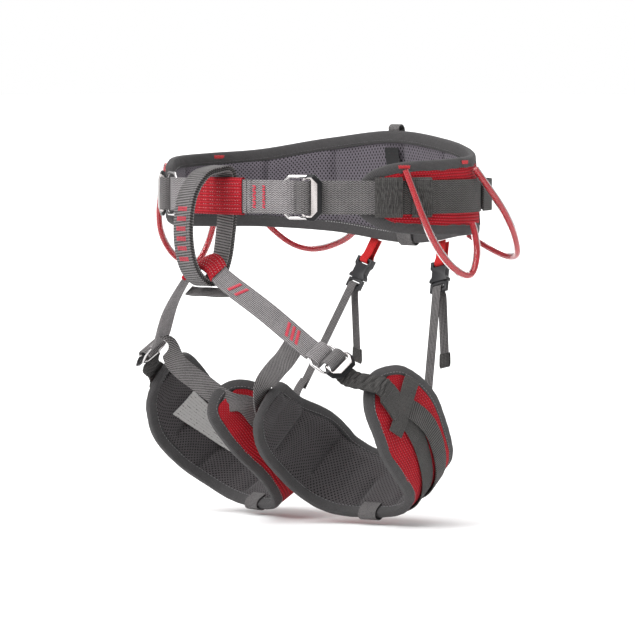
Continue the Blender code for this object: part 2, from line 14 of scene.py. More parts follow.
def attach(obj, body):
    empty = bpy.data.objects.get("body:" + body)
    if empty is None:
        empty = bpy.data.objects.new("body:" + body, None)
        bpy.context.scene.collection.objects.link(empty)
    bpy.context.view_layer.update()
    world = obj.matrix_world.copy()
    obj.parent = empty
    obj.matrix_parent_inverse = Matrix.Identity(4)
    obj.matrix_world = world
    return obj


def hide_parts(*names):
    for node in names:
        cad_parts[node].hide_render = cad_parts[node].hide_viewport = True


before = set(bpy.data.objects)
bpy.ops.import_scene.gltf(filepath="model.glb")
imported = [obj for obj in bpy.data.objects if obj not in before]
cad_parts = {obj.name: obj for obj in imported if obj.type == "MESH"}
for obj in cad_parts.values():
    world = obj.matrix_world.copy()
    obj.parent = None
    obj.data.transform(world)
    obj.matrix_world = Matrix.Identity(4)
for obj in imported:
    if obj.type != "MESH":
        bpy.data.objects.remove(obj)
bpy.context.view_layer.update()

bl_info = {
    "name": "Climbing harness",
    "version": (1, 0, 0),
    "blender": (4, 5, 0),
    "location": "3D view > Sidebar > Harness",
    "description": "Builds the padded belt, leg loops, webbing, buckles and gear loops of a sit harness",
    "category": "Object",
}

SIDES = (("left", 1.0), ("right", -1.0))
UP = Vector((0.0, 0.0, 1.0))
ACROSS = Vector((1.0, 0.0, 0.0))

# ---------------------------------------------------------------- the harness's own surfaces, in metres
GAP = 0.0006
MERGE, FINE_MERGE = 0.00001, 0.0000001
WAIST_A, WAIST_B, WAIST_BACK = 0.1850, 0.1410, 0.1225
BACK_FLARE = 0.19
PAD_FRONT = 52.0
WEBBING_HEIGHT = 0.0360
LINING, CORE, SHELL, WEBBING = 0.0015, 0.0058, 0.0014, 0.0025
BELT_TOP = ((54, 0.018), (60, 0.028), (70, 0.033), (95, 0.036), (120, 0.040), (150, 0.053), (180, 0.062))
BELT_BOTTOM = ((54, -0.020), (66, -0.033), (95, -0.037), (120, -0.038), (150, -0.043), (180, -0.054))
PAD_DEEP = LINING + CORE + SHELL + 2 * GAP
OFF_WEB = PAD_DEEP + GAP + WEBBING / 2
OFF_BINDING = PAD_DEEP / 2
BINDING_REACH = 0.0050

LEG_CENTRE = Vector((0.096, -0.062, -0.267))
LEG_PITCH, LEG_SPLAY = math.radians(36), math.radians(10)
LEG_INNER, LEG_OUTER, LEG_MIDDLE = 0.086, 0.084, 0.0060
LEG_LOW, LEG_HIGH, LEG_FLARE = 0.098, 0.112, 0.12
LEG_RIM = (
    (-128, 0.033, -0.022), (-100, 0.036, -0.048), (-64, 0.023, -0.080), (-28, 0.012, -0.088),
    (8, 0.007, -0.078), (40, 0.010, -0.068), (70, 0.024, -0.062), (98, 0.031, -0.063),
    (118, 0.026, -0.058), (134, 0.014, -0.046),
)
LEG_WEB = 0.0270
LEG_DEEP = 0.0014 + 0.0052 + SHELL + 2 * GAP
FORWARD = Vector((math.sin(LEG_SPLAY), -math.cos(LEG_SPLAY), 0))
LEG_X = Vector((math.cos(LEG_SPLAY), math.sin(LEG_SPLAY), 0))
LEG_N = FORWARD * math.cos(LEG_PITCH) - UP * math.sin(LEG_PITCH)
LEG_M = FORWARD * math.sin(LEG_PITCH) + UP * math.cos(LEG_PITCH)

BELAY_PATH = (
    (-0.1660, 0.0282), (-0.1860, 0.0225), (-0.2030, 0.0030), (-0.2100, -0.0250),
    (-0.2090, -0.0540), (-0.2000, -0.0790), (-0.1820, -0.0930), (-0.1640, -0.0880),
    (-0.1530, -0.0680), (-0.1475, -0.0400), (-0.1445, -0.0150), (-0.1435, 0.0080),
    (-0.1490, 0.0278),
)
GEAR = {
    "front": (
        (0.1850, -0.0590, 0.0290), (0.1955, -0.0565, 0.0040), (0.2060, -0.0520, -0.0240),
        (0.2130, -0.0410, -0.0510), (0.2160, -0.0210, -0.0730), (0.2155, 0.0020, -0.0840),
        (0.2130, 0.0170, -0.0805), (0.2090, 0.0270, -0.0620), (0.2030, 0.0300, -0.0410),
        (0.1990, 0.0300, -0.0300),
    ),
    "rear": (
        (0.1915, 0.0425, 0.0290), (0.1970, 0.0560, 0.0100), (0.1980, 0.0780, -0.0140),
        (0.1930, 0.1000, -0.0380), (0.1800, 0.1220, -0.0600), (0.1640, 0.1350, -0.0690),
        (0.1420, 0.1420, -0.0690), (0.1120, 0.1450, -0.0600), (0.0880, 0.1420, -0.0480),
    ),
}
RISER_TOP = Vector((0.0550, 0.1340, -0.0680))
RISER_END = Vector((0.1000, 0.0660, -0.2320))
BUCKLE_ANGLE = 31.0
LEG_BUCKLE = Vector((0.1350, -0.1240, -0.1760))
LEG_BUCKLE_RUN = Vector((0.115, 0.062, -0.086))
TIE_IN = Vector((0.0, -0.1755, -0.0705))
TIE_IN_WIDE = Vector((0.0, -0.88, -0.47))
STRAP_START = Vector((0.0290, -0.1775, -0.0890))
CROTCH_START = Vector((0.0960, -0.1420, -0.1620))
CROTCH_WIDE = Vector((0.65, 0.05, -0.76))


def mirrored(point, side):
    return Vector((point[0] * side, point[1], point[2]))


def smooth_line(points, count, closed=False):
    """Catmull-Rom curve through the points, with even steps of its parameter."""
    points = [Vector(p) for p in points]
    spans = len(points) if closed else len(points) - 1
    line = []
    for step in range(count + (0 if closed else 1)):
        place = spans * step / count
        index = min(int(place), spans - 1)
        t = place - index
        near = []
        for shift in (-1, 0, 1, 2):
            at = index + shift
            near.append(points[at % len(points)] if closed else points[max(0, min(len(points) - 1, at))])
        a, b, c, d = near
        line.append(0.5 * ((2 * b) + (c - a) * t + (2 * a - 5 * b + 4 * c - d) * t * t
                           + (3 * b - a - 3 * c + d) * t ** 3))
    return line


def between(stations, at):
    """Smooth values at a place along (place, value, ...) stations."""
    if at <= stations[0][0]:
        return stations[0][1:]
    for left, right in zip(stations, stations[1:]):
        if at <= right[0]:
            t = (at - left[0]) / (right[0] - left[0])
            t = t * t * (3 - 2 * t)
            return [a + (b - a) * t for a, b in zip(left[1:], right[1:])]
    return stations[-1][1:]


def step(low, high, value):
    t = max(0.0, min(1.0, (value - low) / (high - low)))
    return t * t * (3 - 2 * t)


def squarish(value, power):
    """A sine or cosine pushed towards the corners of a box, with its sign kept."""
    return math.copysign(abs(value) ** power, value)


def heading(line, index):
    """Direction of an open line at one of its points."""
    return (line[min(index + 1, len(line) - 1)] - line[max(index - 1, 0)]).normalized()


def waist(degrees, z, off):
    """A point on the belt: angle from the front (left side positive), height, distance outwards."""
    angle = math.radians(degrees)
    rear = max(0.0, -math.cos(angle))
    depth = WAIST_B + (WAIST_BACK - WAIST_B) * (3 - 2 * rear) * rear * rear
    reach = off - BACK_FLARE * z * rear * rear
    return Vector(((WAIST_A + reach) * math.sin(angle), -(depth + reach) * math.cos(angle), z))


def belt_edge(table, degrees):
    return between(table, min(degrees, 360.0 - degrees))[0]


def leg(degrees, along, off, side=1.0):
    """A point on a leg loop: angle from under the thigh (outwards positive), place along the leg."""
    angle = math.radians(degrees)
    half = LEG_OUTER if math.sin(angle) > 0 else LEG_INNER
    deep = LEG_LOW if math.cos(angle) > 0 else LEG_HIGH
    power = 2.0 + 0.8 * (0.5 + 0.5 * math.cos(angle))
    reach = ((abs(math.sin(angle)) / half) ** power + (abs(math.cos(angle)) / deep) ** power) ** (-1 / power)
    reach += off - LEG_FLARE * along * (0.5 + 0.5 * math.sin(angle))
    point = LEG_CENTRE + LEG_X * reach * math.sin(angle) - LEG_M * reach * math.cos(angle) + LEG_N * along
    point.x = max(point.x, LEG_MIDDLE - off)
    return mirrored(point, side)


def round_waist(degrees, z=0.0, off=0.0):
    """Direction along the belt at an angle."""
    return (waist(degrees + 1, z, off) - waist(degrees - 1, z, off)).normalized()


def outwards_at(surface, a, b, off):
    return (surface(a, b, off + 0.001) - surface(a, b, off)).normalized()


def buckle_place(kind, side):
    """Origin, run of the strap, width and outward direction of a waist or leg buckle."""
    if kind == "waist":
        origin = waist(BUCKLE_ANGLE * side, 0.0, OFF_WEB)
        along = round_waist(BUCKLE_ANGLE * side, 0.0, OFF_WEB) * side
        return origin, along, UP, (along.cross(UP) * side).normalized()
    along = mirrored(LEG_BUCKLE_RUN, side).normalized()
    wide = mirrored(LEG_N, side)
    wide = (wide - along * wide.dot(along)).normalized()
    out = along.cross(wide).normalized()
    if out.z < 0:
        out = -out
    return mirrored(LEG_BUCKLE, side), along, wide, out


# ---------------------------------------------------------------- materials
class Recipe:
    """One node material, written as short sums of sockets."""

    def __init__(self, name, roughness=0.8, metallic=0.0, sheen=0.0):
        self.made = bpy.data.materials.new(name)
        self.made.use_nodes = True
        self.tree = self.made.node_tree
        self.shader = self.tree.nodes["Principled BSDF"]
        self.shader.inputs["Roughness"].default_value = roughness
        self.shader.inputs["Metallic"].default_value = metallic
        self.shader.inputs["Sheen Weight"].default_value = sheen
        self.shader.inputs["Sheen Roughness"].default_value = 0.5

    def node(self, kind, **settings):
        made = self.tree.nodes.new("ShaderNode" + kind)
        for key, value in settings.items():
            setattr(made, key, value)
        return made

    def put(self, socket, value):
        if isinstance(value, bpy.types.NodeSocket):
            self.tree.links.new(value, socket)
        else:
            socket.default_value = value

    def calc(self, operation, *values):
        made = self.node("Math", operation=operation)
        for socket, value in zip(made.inputs, values):
            self.put(socket, value)
        return made.outputs[0]

    def uv(self):
        """Distance along and across the piece, in metres."""
        made = self.node("SeparateXYZ")
        self.put(made.inputs[0], self.node("UVMap").outputs[0])
        return made.outputs[0], made.outputs[1]

    def object_place(self):
        return self.node("TexCoord").outputs["Object"]

    def noise(self, scale, detail=2.0, where=None):
        made = self.node("TexNoise")
        self.put(made.inputs["Vector"], where or self.object_place())
        made.inputs["Scale"].default_value = scale
        made.inputs["Detail"].default_value = detail
        return made.outputs[0]

    def ripple(self, place, pitch):
        """0 to 1 wave of a place in metres."""
        wave = self.calc("SINE", self.calc("MULTIPLY", place, 2 * math.pi / pitch))
        return self.calc("MULTIPLY_ADD", wave, 0.5, 0.5)

    def dots(self, pitch_along, pitch_across, radius, soft=0.25):
        """1 inside dots that stand in staggered rows, 0 between them."""
        along, across = self.uv()
        a = self.calc("DIVIDE", along, pitch_along)
        b = self.calc("DIVIDE", across, pitch_across)
        join = self.node("CombineXYZ")
        self.put(join.inputs[0], self.calc("ADD", a, b))
        self.put(join.inputs[1], self.calc("SUBTRACT", a, b))
        cells = self.node("TexVoronoi", voronoi_dimensions="2D")
        self.put(cells.inputs["Vector"], join.outputs[0])
        cells.inputs["Scale"].default_value = 1.0
        cells.inputs["Randomness"].default_value = 0.0
        rim = self.node("MapRange", interpolation_type="SMOOTHSTEP")
        self.put(rim.inputs[0], cells.outputs["Distance"])
        rim.inputs[1].default_value = radius * (1 - soft)
        rim.inputs[2].default_value = radius * (1 + soft)
        rim.inputs[3].default_value = 1.0
        rim.inputs[4].default_value = 0.0
        return rim.outputs[0]

    def blend(self, share, low, high):
        made = self.node("Mix", data_type="RGBA")
        self.put(made.inputs[0], share)
        for socket, value in ((made.inputs[6], low), (made.inputs[7], high)):
            if isinstance(value, (tuple, list)):
                value = (*value, 1.0)
            self.put(socket, value)
        return made.outputs[2]

    def colour(self, value):
        if isinstance(value, (tuple, list)):
            value = (*value, 1.0)
        self.put(self.shader.inputs["Base Color"], value)

    def relief(self, height, distance, strength=1.0):
        made = self.node("Bump")
        made.inputs["Strength"].default_value = strength
        made.inputs["Distance"].default_value = distance
        self.put(made.inputs["Height"], height)
        self.put(self.shader.inputs["Normal"], made.outputs[0])


def shade(colour, share):
    return tuple(c * share for c in colour)


MADE = {}


def once(make):
    """Makes each named material a single time and hands the same one out again."""
    def fetch(name, *settings):
        if name not in MADE:
            MADE[name] = make(name, *settings).made
        return MADE[name]
    return fetch


@once
def webbing_material(name, colour, weave, contrast=0.85):
    """Woven strap: chevron, twill, ribs along, ribs across, or fine plain weave."""
    mix = Recipe(name, 0.85, sheen=0.05)
    mix.shader.inputs["Specular IOR Level"].default_value = 0.3
    along, across = mix.uv()
    if weave == "chevron":
        zigzag = mix.calc("MULTIPLY", mix.calc("PINGPONG", along, 0.0023), 0.75)
        rows = mix.ripple(mix.calc("ADD", across, zigzag), 0.0024)
        picks = mix.ripple(along, 0.0015)
    elif weave == "twill":
        rows = mix.ripple(mix.calc("ADD", mix.calc("MULTIPLY", along, 0.8), across), 0.0024)
        picks = mix.ripple(along, 0.0012)
    elif weave == "ribs_along":
        rows = mix.ripple(across, 0.0021)
        picks = mix.ripple(along, 0.0016)
    elif weave == "ribs_across":
        slope = mix.calc("MULTIPLY", across, 0.12)
        rows = mix.ripple(mix.calc("ADD", along, slope), 0.0030)
        picks = mix.ripple(across, 0.0016)
    else:
        rows = mix.ripple(across, 0.0013)
        picks = mix.ripple(along, 0.0013)
    speck = mix.noise(900.0, 3.0)
    worn = mix.noise(45.0, 3.0)
    height = mix.calc("MULTIPLY_ADD", picks, 0.35, mix.calc("MULTIPLY", rows, 0.65))
    light = mix.calc("MULTIPLY_ADD", speck, 1.1, mix.calc("MULTIPLY", height, 1.35))
    light = mix.calc("MULTIPLY_ADD", worn, 0.4, mix.calc("SUBTRACT", light, 0.95))
    mix.colour(mix.blend(light, shade(colour, 1.0 - contrast), shade(colour, 1.0 + contrast)))
    mix.relief(mix.calc("ADD", height, mix.calc("MULTIPLY", speck, 0.5)), 0.0006, 1.0)
    return mix


@once
def mesh_lining_material(name, colour):
    """Spacer mesh: soft knit with rows of dark holes."""
    mix = Recipe(name, 0.95, sheen=0.12)
    mix.shader.inputs["Specular IOR Level"].default_value = 0.2
    holes = mix.dots(0.0044, 0.0048, 0.27)
    knit = mix.noise(700.0, 2.0)
    tone = mix.noise(22.0, 3.0)
    ground = mix.blend(mix.calc("MULTIPLY_ADD", knit, 0.5, mix.calc("MULTIPLY", tone, 0.5)),
                       shade(colour, 0.72), shade(colour, 1.28))
    mix.colour(mix.blend(holes, ground, shade(colour, 0.03)))
    mix.relief(mix.calc("SUBTRACT", mix.calc("MULTIPLY", knit, 0.4), holes), 0.0006, 0.9)
    return mix


@once
def dotted_red_material(name, colour, pale):
    """Ribbed red fabric with a pale thread showing in staggered rows."""
    mix = Recipe(name, 0.85)
    mix.shader.inputs["Specular IOR Level"].default_value = 0.25
    along, across = mix.uv()
    ribs = mix.ripple(across, 0.0031)
    picks = mix.ripple(along, 0.0014)
    flecks = mix.dots(0.0036, 0.0062, 0.125, 0.5)
    tone = mix.noise(60.0, 3.0)
    grain = mix.noise(900.0, 2.0)
    light = mix.calc("MULTIPLY_ADD", ribs, 0.5, mix.calc("MULTIPLY_ADD", tone, 0.4, mix.calc("MULTIPLY", grain, 0.3)))
    ground = mix.blend(mix.calc("SUBTRACT", light, 0.15), shade(colour, 0.45), shade(colour, 1.65))
    mix.colour(mix.blend(mix.calc("MULTIPLY", flecks, 0.55), ground, pale))
    height = mix.calc("MULTIPLY_ADD", picks, 0.3, mix.calc("ADD", ribs, mix.calc("MULTIPLY", flecks, 0.4)))
    mix.relief(height, 0.0006, 0.9)
    return mix


@once
def thread_material(name, colour):
    mix = Recipe(name, 0.55, sheen=0.2)
    mix.colour(mix.blend(mix.noise(400.0), shade(colour, 0.7), shade(colour, 1.3)))
    mix.relief(mix.noise(2500.0), 0.0002, 0.5)
    return mix


@once
def metal_material(name, colour, roughness):
    mix = Recipe(name, roughness, 1.0)
    scratches = mix.noise(1400.0, 4.0)
    mix.colour(mix.blend(mix.noise(60.0, 3.0), shade(colour, 0.85), shade(colour, 1.05)))
    spread = mix.calc("MULTIPLY_ADD", scratches, 0.16, roughness - 0.05)
    mix.put(mix.shader.inputs["Roughness"], spread)
    mix.relief(scratches, 0.0001, 0.25)
    return mix


# Near-black metal that stands in for the shade on the buckle frames' outer faces: painted shade.
@once
def painted_shade_metal_material(name, colour):
    mix = Recipe(name, 0.32, 0.6)
    mix.colour(mix.blend(mix.noise(150.0, 3.0), shade(colour, 0.7), shade(colour, 1.6)))
    mix.put(mix.shader.inputs["Roughness"], mix.calc("MULTIPLY_ADD", mix.noise(500.0, 3.0), 0.2, 0.22))
    mix.relief(mix.noise(1800.0), 0.0001, 0.2)
    return mix


@once
def plastic_material(name, colour):
    mix = Recipe(name, 0.45)
    mix.colour(mix.blend(mix.noise(80.0, 3.0), shade(colour, 0.8), shade(colour, 1.3)))
    mix.put(mix.shader.inputs["Roughness"], mix.calc("MULTIPLY_ADD", mix.noise(350.0, 2.0), 0.2, 0.35))
    mix.relief(mix.noise(2200.0, 3.0), 0.0001, 0.4)
    return mix


@once
def clear_tube_material(name):
    mix = Recipe(name, 0.06)
    mix.shader.inputs["Transmission Weight"].default_value = 1.0
    mix.shader.inputs["IOR"].default_value = 1.36
    mix.colour(mix.blend(mix.noise(60.0), (0.97, 0.95, 0.95), (1.0, 0.99, 0.99)))
    mix.relief(mix.noise(260.0), 0.0002, 0.15)
    return mix


@once
def braid_material(name, colour, pale):
    mix = Recipe(name, 0.6)
    along, across = mix.uv()
    one = mix.ripple(mix.calc("ADD", along, across), 0.0026)
    two = mix.ripple(mix.calc("SUBTRACT", along, across), 0.0026)
    braid = mix.calc("MAXIMUM", one, two)
    flecks = mix.dots(0.0034, 0.0048, 0.12, 0.4)
    ground = mix.blend(braid, shade(colour, 0.7), shade(colour, 1.25))
    mix.colour(mix.blend(mix.calc("MULTIPLY", flecks, 0.35), ground, pale))
    mix.relief(braid, 0.0004, 0.9)
    return mix


@once
def label_material(name, ground, mark, strokes):
    """Printed label: plain short strokes that spell nothing."""
    mix = Recipe(name, 0.6)
    along, across = mix.uv()
    patch = mix.calc("GREATER_THAN", mix.noise(strokes, 0.0), 0.60)
    lines = mix.calc("GREATER_THAN", mix.ripple(across, 0.0032), 0.72)
    gaps = mix.calc("GREATER_THAN", mix.noise(strokes * 3.0, 1.0), 0.48)
    print_share = mix.calc("MULTIPLY", mix.calc("MULTIPLY", lines, gaps), mix.calc("MAXIMUM", patch, 0.35))
    mix.colour(mix.blend(print_share, ground, mark))
    mix.relief(mix.noise(900.0), 0.0001, 0.3)
    return mix


def harness():
    return bpy.context.scene.harness


def strap(weave, tone="light"):
    own = {"light": harness().light_webbing, "mid": harness().mid_webbing, "dark": harness().dark_webbing}[tone]
    return webbing_material(f"{tone}_{weave}_webbing", tuple(own), weave)


def binding_cloth(kind="belt"):
    share = 1.0 if kind == "belt" else 0.62
    return webbing_material(f"grey_{kind}_binding_cloth", shade(harness().binding, share), "plain", 0.42)


def lining_cloth():
    return mesh_lining_material("spacer_mesh_lining", tuple(harness().lining))


# Leg pads' spacer mesh, darker than the belt's lining as painted shade for the inside of the leg loops.
def shaded_leg_lining_cloth():
    return mesh_lining_material("leg_spacer_mesh", tuple(harness().leg_lining))


def red_cloth():
    return dotted_red_material("dotted_red_cloth", tuple(harness().red), (0.62, 0.20, 0.22))


def thread(tone):
    colours = {"pink": (0.56, 0.030, 0.060), "pale": (0.55, 0.54, 0.54), "black": (0.012, 0.012, 0.012),
               "red": (0.50, 0.012, 0.02), "grey": (0.07, 0.068, 0.07), "pale_grey": (0.20, 0.195, 0.20)}
    return thread_material(tone + "_thread", colours[tone])


# ---------------------------------------------------------------- making pieces
def only(obj):
    bpy.ops.object.select_all(action="DESELECT")
    obj.select_set(True)
    bpy.context.view_layer.objects.active = obj


@contextmanager
def editing(obj, select="SELECT"):
    """Edit mode on one piece, with all of it or none of it selected."""
    only(obj)
    bpy.ops.object.mode_set(mode="EDIT")
    bpy.ops.mesh.select_all(action=select)
    yield
    bpy.ops.object.mode_set(mode="OBJECT")


def mesh_piece(name, points, faces):
    mesh = bpy.data.meshes.new(name)
    mesh.from_pydata(points, [], faces)
    obj = bpy.data.objects.new(name, mesh)
    bpy.context.collection.objects.link(obj)
    return obj


def apply_modifier(obj, kind, **settings):
    only(obj)
    made = obj.modifiers.new(kind.lower(), kind)
    for key, value in settings.items():
        setattr(made, key, value)
    bpy.ops.object.modifier_apply(modifier=made.name)


def clean(obj, merge=MERGE):
    """Merges doubles and turns the faces outwards."""
    with editing(obj):
        bpy.ops.mesh.remove_doubles(threshold=merge)
        bpy.ops.mesh.normals_make_consistent(inside=False)


def grid(name, place, along, across):
    """A plane bent to place(u, v), with its UV map in metres along and across."""
    bpy.ops.object.select_all(action="DESELECT")
    bpy.ops.mesh.primitive_grid_add(x_subdivisions=along, y_subdivisions=across, size=1.0)
    obj = bpy.context.active_object
    obj.name = name
    mesh = obj.data
    mesh.name = name
    flat = np.empty(len(mesh.vertices) * 3)
    mesh.vertices.foreach_get("co", flat)
    flat = flat.reshape(-1, 3)
    steps_u = np.rint((flat[:, 0] + 0.5) * along).astype(int)
    steps_v = np.rint((flat[:, 1] + 0.5) * across).astype(int)
    bent = np.array([place(i / along, j / across) for i, j in zip(steps_u, steps_v)])
    table = np.zeros((along + 1, across + 1, 3))
    table[steps_u, steps_v] = bent
    mesh.vertices.foreach_set("co", bent.ravel())
    middle = table[:, across // 2]
    run = np.concatenate(([0.0], np.cumsum(np.linalg.norm(np.diff(middle, axis=0), axis=1))))
    rows = np.linalg.norm(np.diff(table, axis=1), axis=2).mean(axis=0)
    rise = np.concatenate(([0.0], np.cumsum(rows)))
    corners = np.empty(len(mesh.loops), dtype=int)
    mesh.loops.foreach_get("vertex_index", corners)
    spots = np.stack((run[steps_u[corners]], rise[steps_v[corners]]), axis=1)
    mesh.uv_layers[0].data.foreach_set("uv", spots.ravel())
    mesh.update()
    return obj


def dress(obj, material, body, nodes=(), slot=None, smooth=40.0):
    """Gives a finished piece its material, its body and the nodes that it stands for."""
    only(obj)
    if material is not None:
        obj.data.materials.clear()
        obj.data.materials.append(material)
    bpy.ops.object.shade_smooth_by_angle(angle=math.radians(smooth))
    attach(obj, body)
    if nodes:
        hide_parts(*nodes)
    return obj


def thicken(obj, thickness, offset=0.0, round_edges=True):
    apply_modifier(obj, "SOLIDIFY", thickness=thickness, offset=offset)
    if round_edges:
        apply_modifier(obj, "BEVEL", width=thickness * 0.38, segments=2, limit_method="ANGLE",
                       angle_limit=math.radians(50))
    return obj


def ribbon(name, points, wides, width, thickness, count, across=4, closed=False, taper=None, ripple=None):
    """Flat webbing along a smooth line; wides gives the direction of its width at each point."""
    line = smooth_line(points, count, closed)
    turns = smooth_line(wides, count, closed)

    def place(u, v):
        index = round(u * count)
        index = index % count if closed else index
        share = taper(u) if taper else 1.0
        turn = turns[index].normalized()
        spot = line[index] + turn * width * share * (v - 0.5)
        if ripple:
            ahead = line[(index + 1) % len(line)] - line[index - 1]
            spot += ahead.cross(turn).normalized() * ripple(u, v)
        return spot

    obj = grid(name, place, count, across)
    if closed:
        clean(obj)
    return thicken(obj, thickness)


def sweep(name, line, sides, section, closed=True, around=12):
    """A section run along a line; sides gives two directions at each point, section(u, angle) two offsets."""
    count = len(line) if closed else len(line) - 1

    def place(u, v):
        index = round(u * count)
        index = index % count if closed else index
        first, second = sides[index]
        a, b = section(u, 2 * math.pi * v)
        return line[index] + first * a + second * b

    obj = grid(name, place, count, around)
    clean(obj)
    return obj


def cord_piece(name, line, frames, radius, around, closed=False):
    """A round cord along a line."""
    return sweep(name, line, frames, lambda u, a: (radius * math.cos(a), radius * math.sin(a)), closed, around)


def unit_bead():
    bpy.ops.object.select_all(action="DESELECT")
    bpy.ops.mesh.primitive_uv_sphere_add(segments=6, ring_count=4, radius=1.0)
    obj = bpy.context.active_object
    verts = np.array([v.co for v in obj.data.vertices])
    faces = [tuple(p.vertices) for p in obj.data.polygons]
    bpy.data.objects.remove(obj, do_unlink=True)
    return verts, faces


def beads(name, rows, tone, body):
    """Many short threads as one piece; each row is (centre, run, out, half length, half width, half height)."""
    shape, faces = unit_bead()
    points, polygons = [], []
    for centre, run, out, length, width, height in rows:
        run = run.normalized()
        out = (out - run * out.dot(run)).normalized()
        wide = run.cross(out)
        first = len(points)
        for x, y, z in shape:
            points.append(centre + wide * x * width + out * y * height + run * z * length)
        polygons += [tuple(first + i for i in face) for face in faces]
    obj = mesh_piece(name, points, polygons)
    with editing(obj):
        bpy.ops.mesh.normals_make_consistent(inside=False)
    return dress(obj, thread(tone), body, smooth=180.0)


def stitch_rows(line, outs, pitch=0.0040, length=0.0030, radius=0.00035):
    """Beads in an even row along a line that lies on the cloth."""
    rows = []
    spare = 0.0
    for here, there, out in zip(line, line[1:], outs):
        gap = (there - here).length
        at = spare
        while at < gap:
            rows.append((here.lerp(there, at / gap), there - here, out, length / 2, radius, radius))
            at += pitch
        spare = at - gap
    return rows


def tack_rows(centre, long_way, thread_way, out, long, wide, pitch=0.0009):
    """Satin bar tack: short threads side by side."""
    long_way = long_way.normalized()
    count = max(2, round(long / pitch))
    rows = []
    for index in range(count + 1):
        share = index / count - 0.5
        lean = 0.18 if index % 2 else -0.18
        run = thread_way.normalized() + long_way * lean
        rows.append((centre + long_way * share * long, run, out, wide / 2, 0.00055, 0.00050))
    return rows


CLOTH_PRESSURE, CLOTH_STIFFNESS, CLOTH_FRAMES, SWELL_LIMIT = 4.0, 18, 20, 0.004


def puff(obj, pinned):
    """Cloth under pressure between its pinned seams, applied to the mesh."""
    only(obj)
    group = obj.vertex_groups.new(name="seams")
    for index, weight in pinned.items():
        group.add([index], weight, "REPLACE")
    before = np.array([v.co for v in obj.data.vertices])
    cloth = obj.modifiers.new("cloth", "CLOTH")
    cloth.settings.quality = 4
    cloth.settings.mass = 0.2
    cloth.settings.tension_stiffness = CLOTH_STIFFNESS
    cloth.settings.compression_stiffness = CLOTH_STIFFNESS
    cloth.settings.bending_stiffness = 0.4
    cloth.settings.use_pressure = True
    cloth.settings.uniform_pressure_force = CLOTH_PRESSURE
    cloth.settings.vertex_group_mass = "seams"
    cloth.settings.effector_weights.gravity = 0
    cloth.collision_settings.use_collision = False
    scene = bpy.context.scene
    cloth.point_cache.frame_start = 1
    cloth.point_cache.frame_end = CLOTH_FRAMES
    for number in range(1, CLOTH_FRAMES + 1):
        scene.frame_set(number)
    bpy.ops.object.modifier_apply(modifier=cloth.name)
    scene.frame_set(1)
    after = np.array([v.co for v in obj.data.vertices])
    move = after - before
    size = np.linalg.norm(move, axis=1)
    share = np.where(size > SWELL_LIMIT, SWELL_LIMIT / np.maximum(size, 1e-9), 1.0)
    obj.data.vertices.foreach_set("co", (before + move * share[:, None]).ravel())
    obj.vertex_groups.clear()
    obj.data.update()


# ---------------------------------------------------------------- padded sheets
def seam_dip(distance, width=0.0040):
    return math.exp(-(distance / width) ** 2)


def pad(name, surface, span, edges, low, high, seams, degree, along, across, plump):
    """A stuffed closed sheet between two angles of a surface: its inner face swells between the seams.

    degree is the length of one degree along the surface.
    """
    start, end = span

    def spot(degrees, share, off):
        first, last = edges(degrees)
        return surface(degrees, first + (last - first) * share, off)

    def held(u, v):
        """1 where the cloth is sewn down, 0 where it may swell."""
        degrees = start + (end - start) * u
        rim = step(0.0, 0.16, v) * step(0.0, 0.16, 1 - v) * step(0.0, 0.03, u) * step(0.0, 0.03, 1 - u)
        dip = 0.0
        for seam, low_end, high_end in seams:
            inside = step(low_end - 0.06, low_end, v) * (1 - step(high_end, high_end + 0.06, v))
            dip = max(dip, seam_dip(abs(degrees - seam) * degree) * inside)
        return 1 - rim, dip

    def inner(u, v):
        rim, dip = held(u, v)
        return spot(start + (end - start) * u, v, low + 0.0010 * rim - plump * (1 - rim) * (1 - dip) + 0.0014 * dip)

    obj = grid(name, inner, along, across)
    before = {}
    for i in range(along + 1):
        for j in range(across + 1):
            before[tuple(round(c, 5) for c in inner(i / along, j / across))] = (i / along, j / across)
    apply_modifier(obj, "SOLIDIFY", thickness=0.0020, offset=-1.0)
    mesh = obj.data
    half = len(mesh.vertices) // 2
    pinned = {}
    for vert in mesh.vertices:
        key = tuple(round(c, 5) for c in vert.co)
        if vert.index < half and key in before:
            pinned[vert.index] = min(1.0, max(held(*before[key])) * 1.6)
        else:
            pinned[vert.index] = 1.0
    order = [before.get(tuple(round(c, 5) for c in mesh.vertices[i].co)) for i in range(half)]
    for index, uv in enumerate(order):
        if uv is not None:
            degrees = start + (end - start) * uv[0]
            mesh.vertices[half + index].co = spot(degrees, uv[1], high)
    clean(obj, FINE_MERGE)
    puff(obj, pinned)
    apply_modifier(obj, "SUBSURF", levels=1, render_levels=1)
    return obj


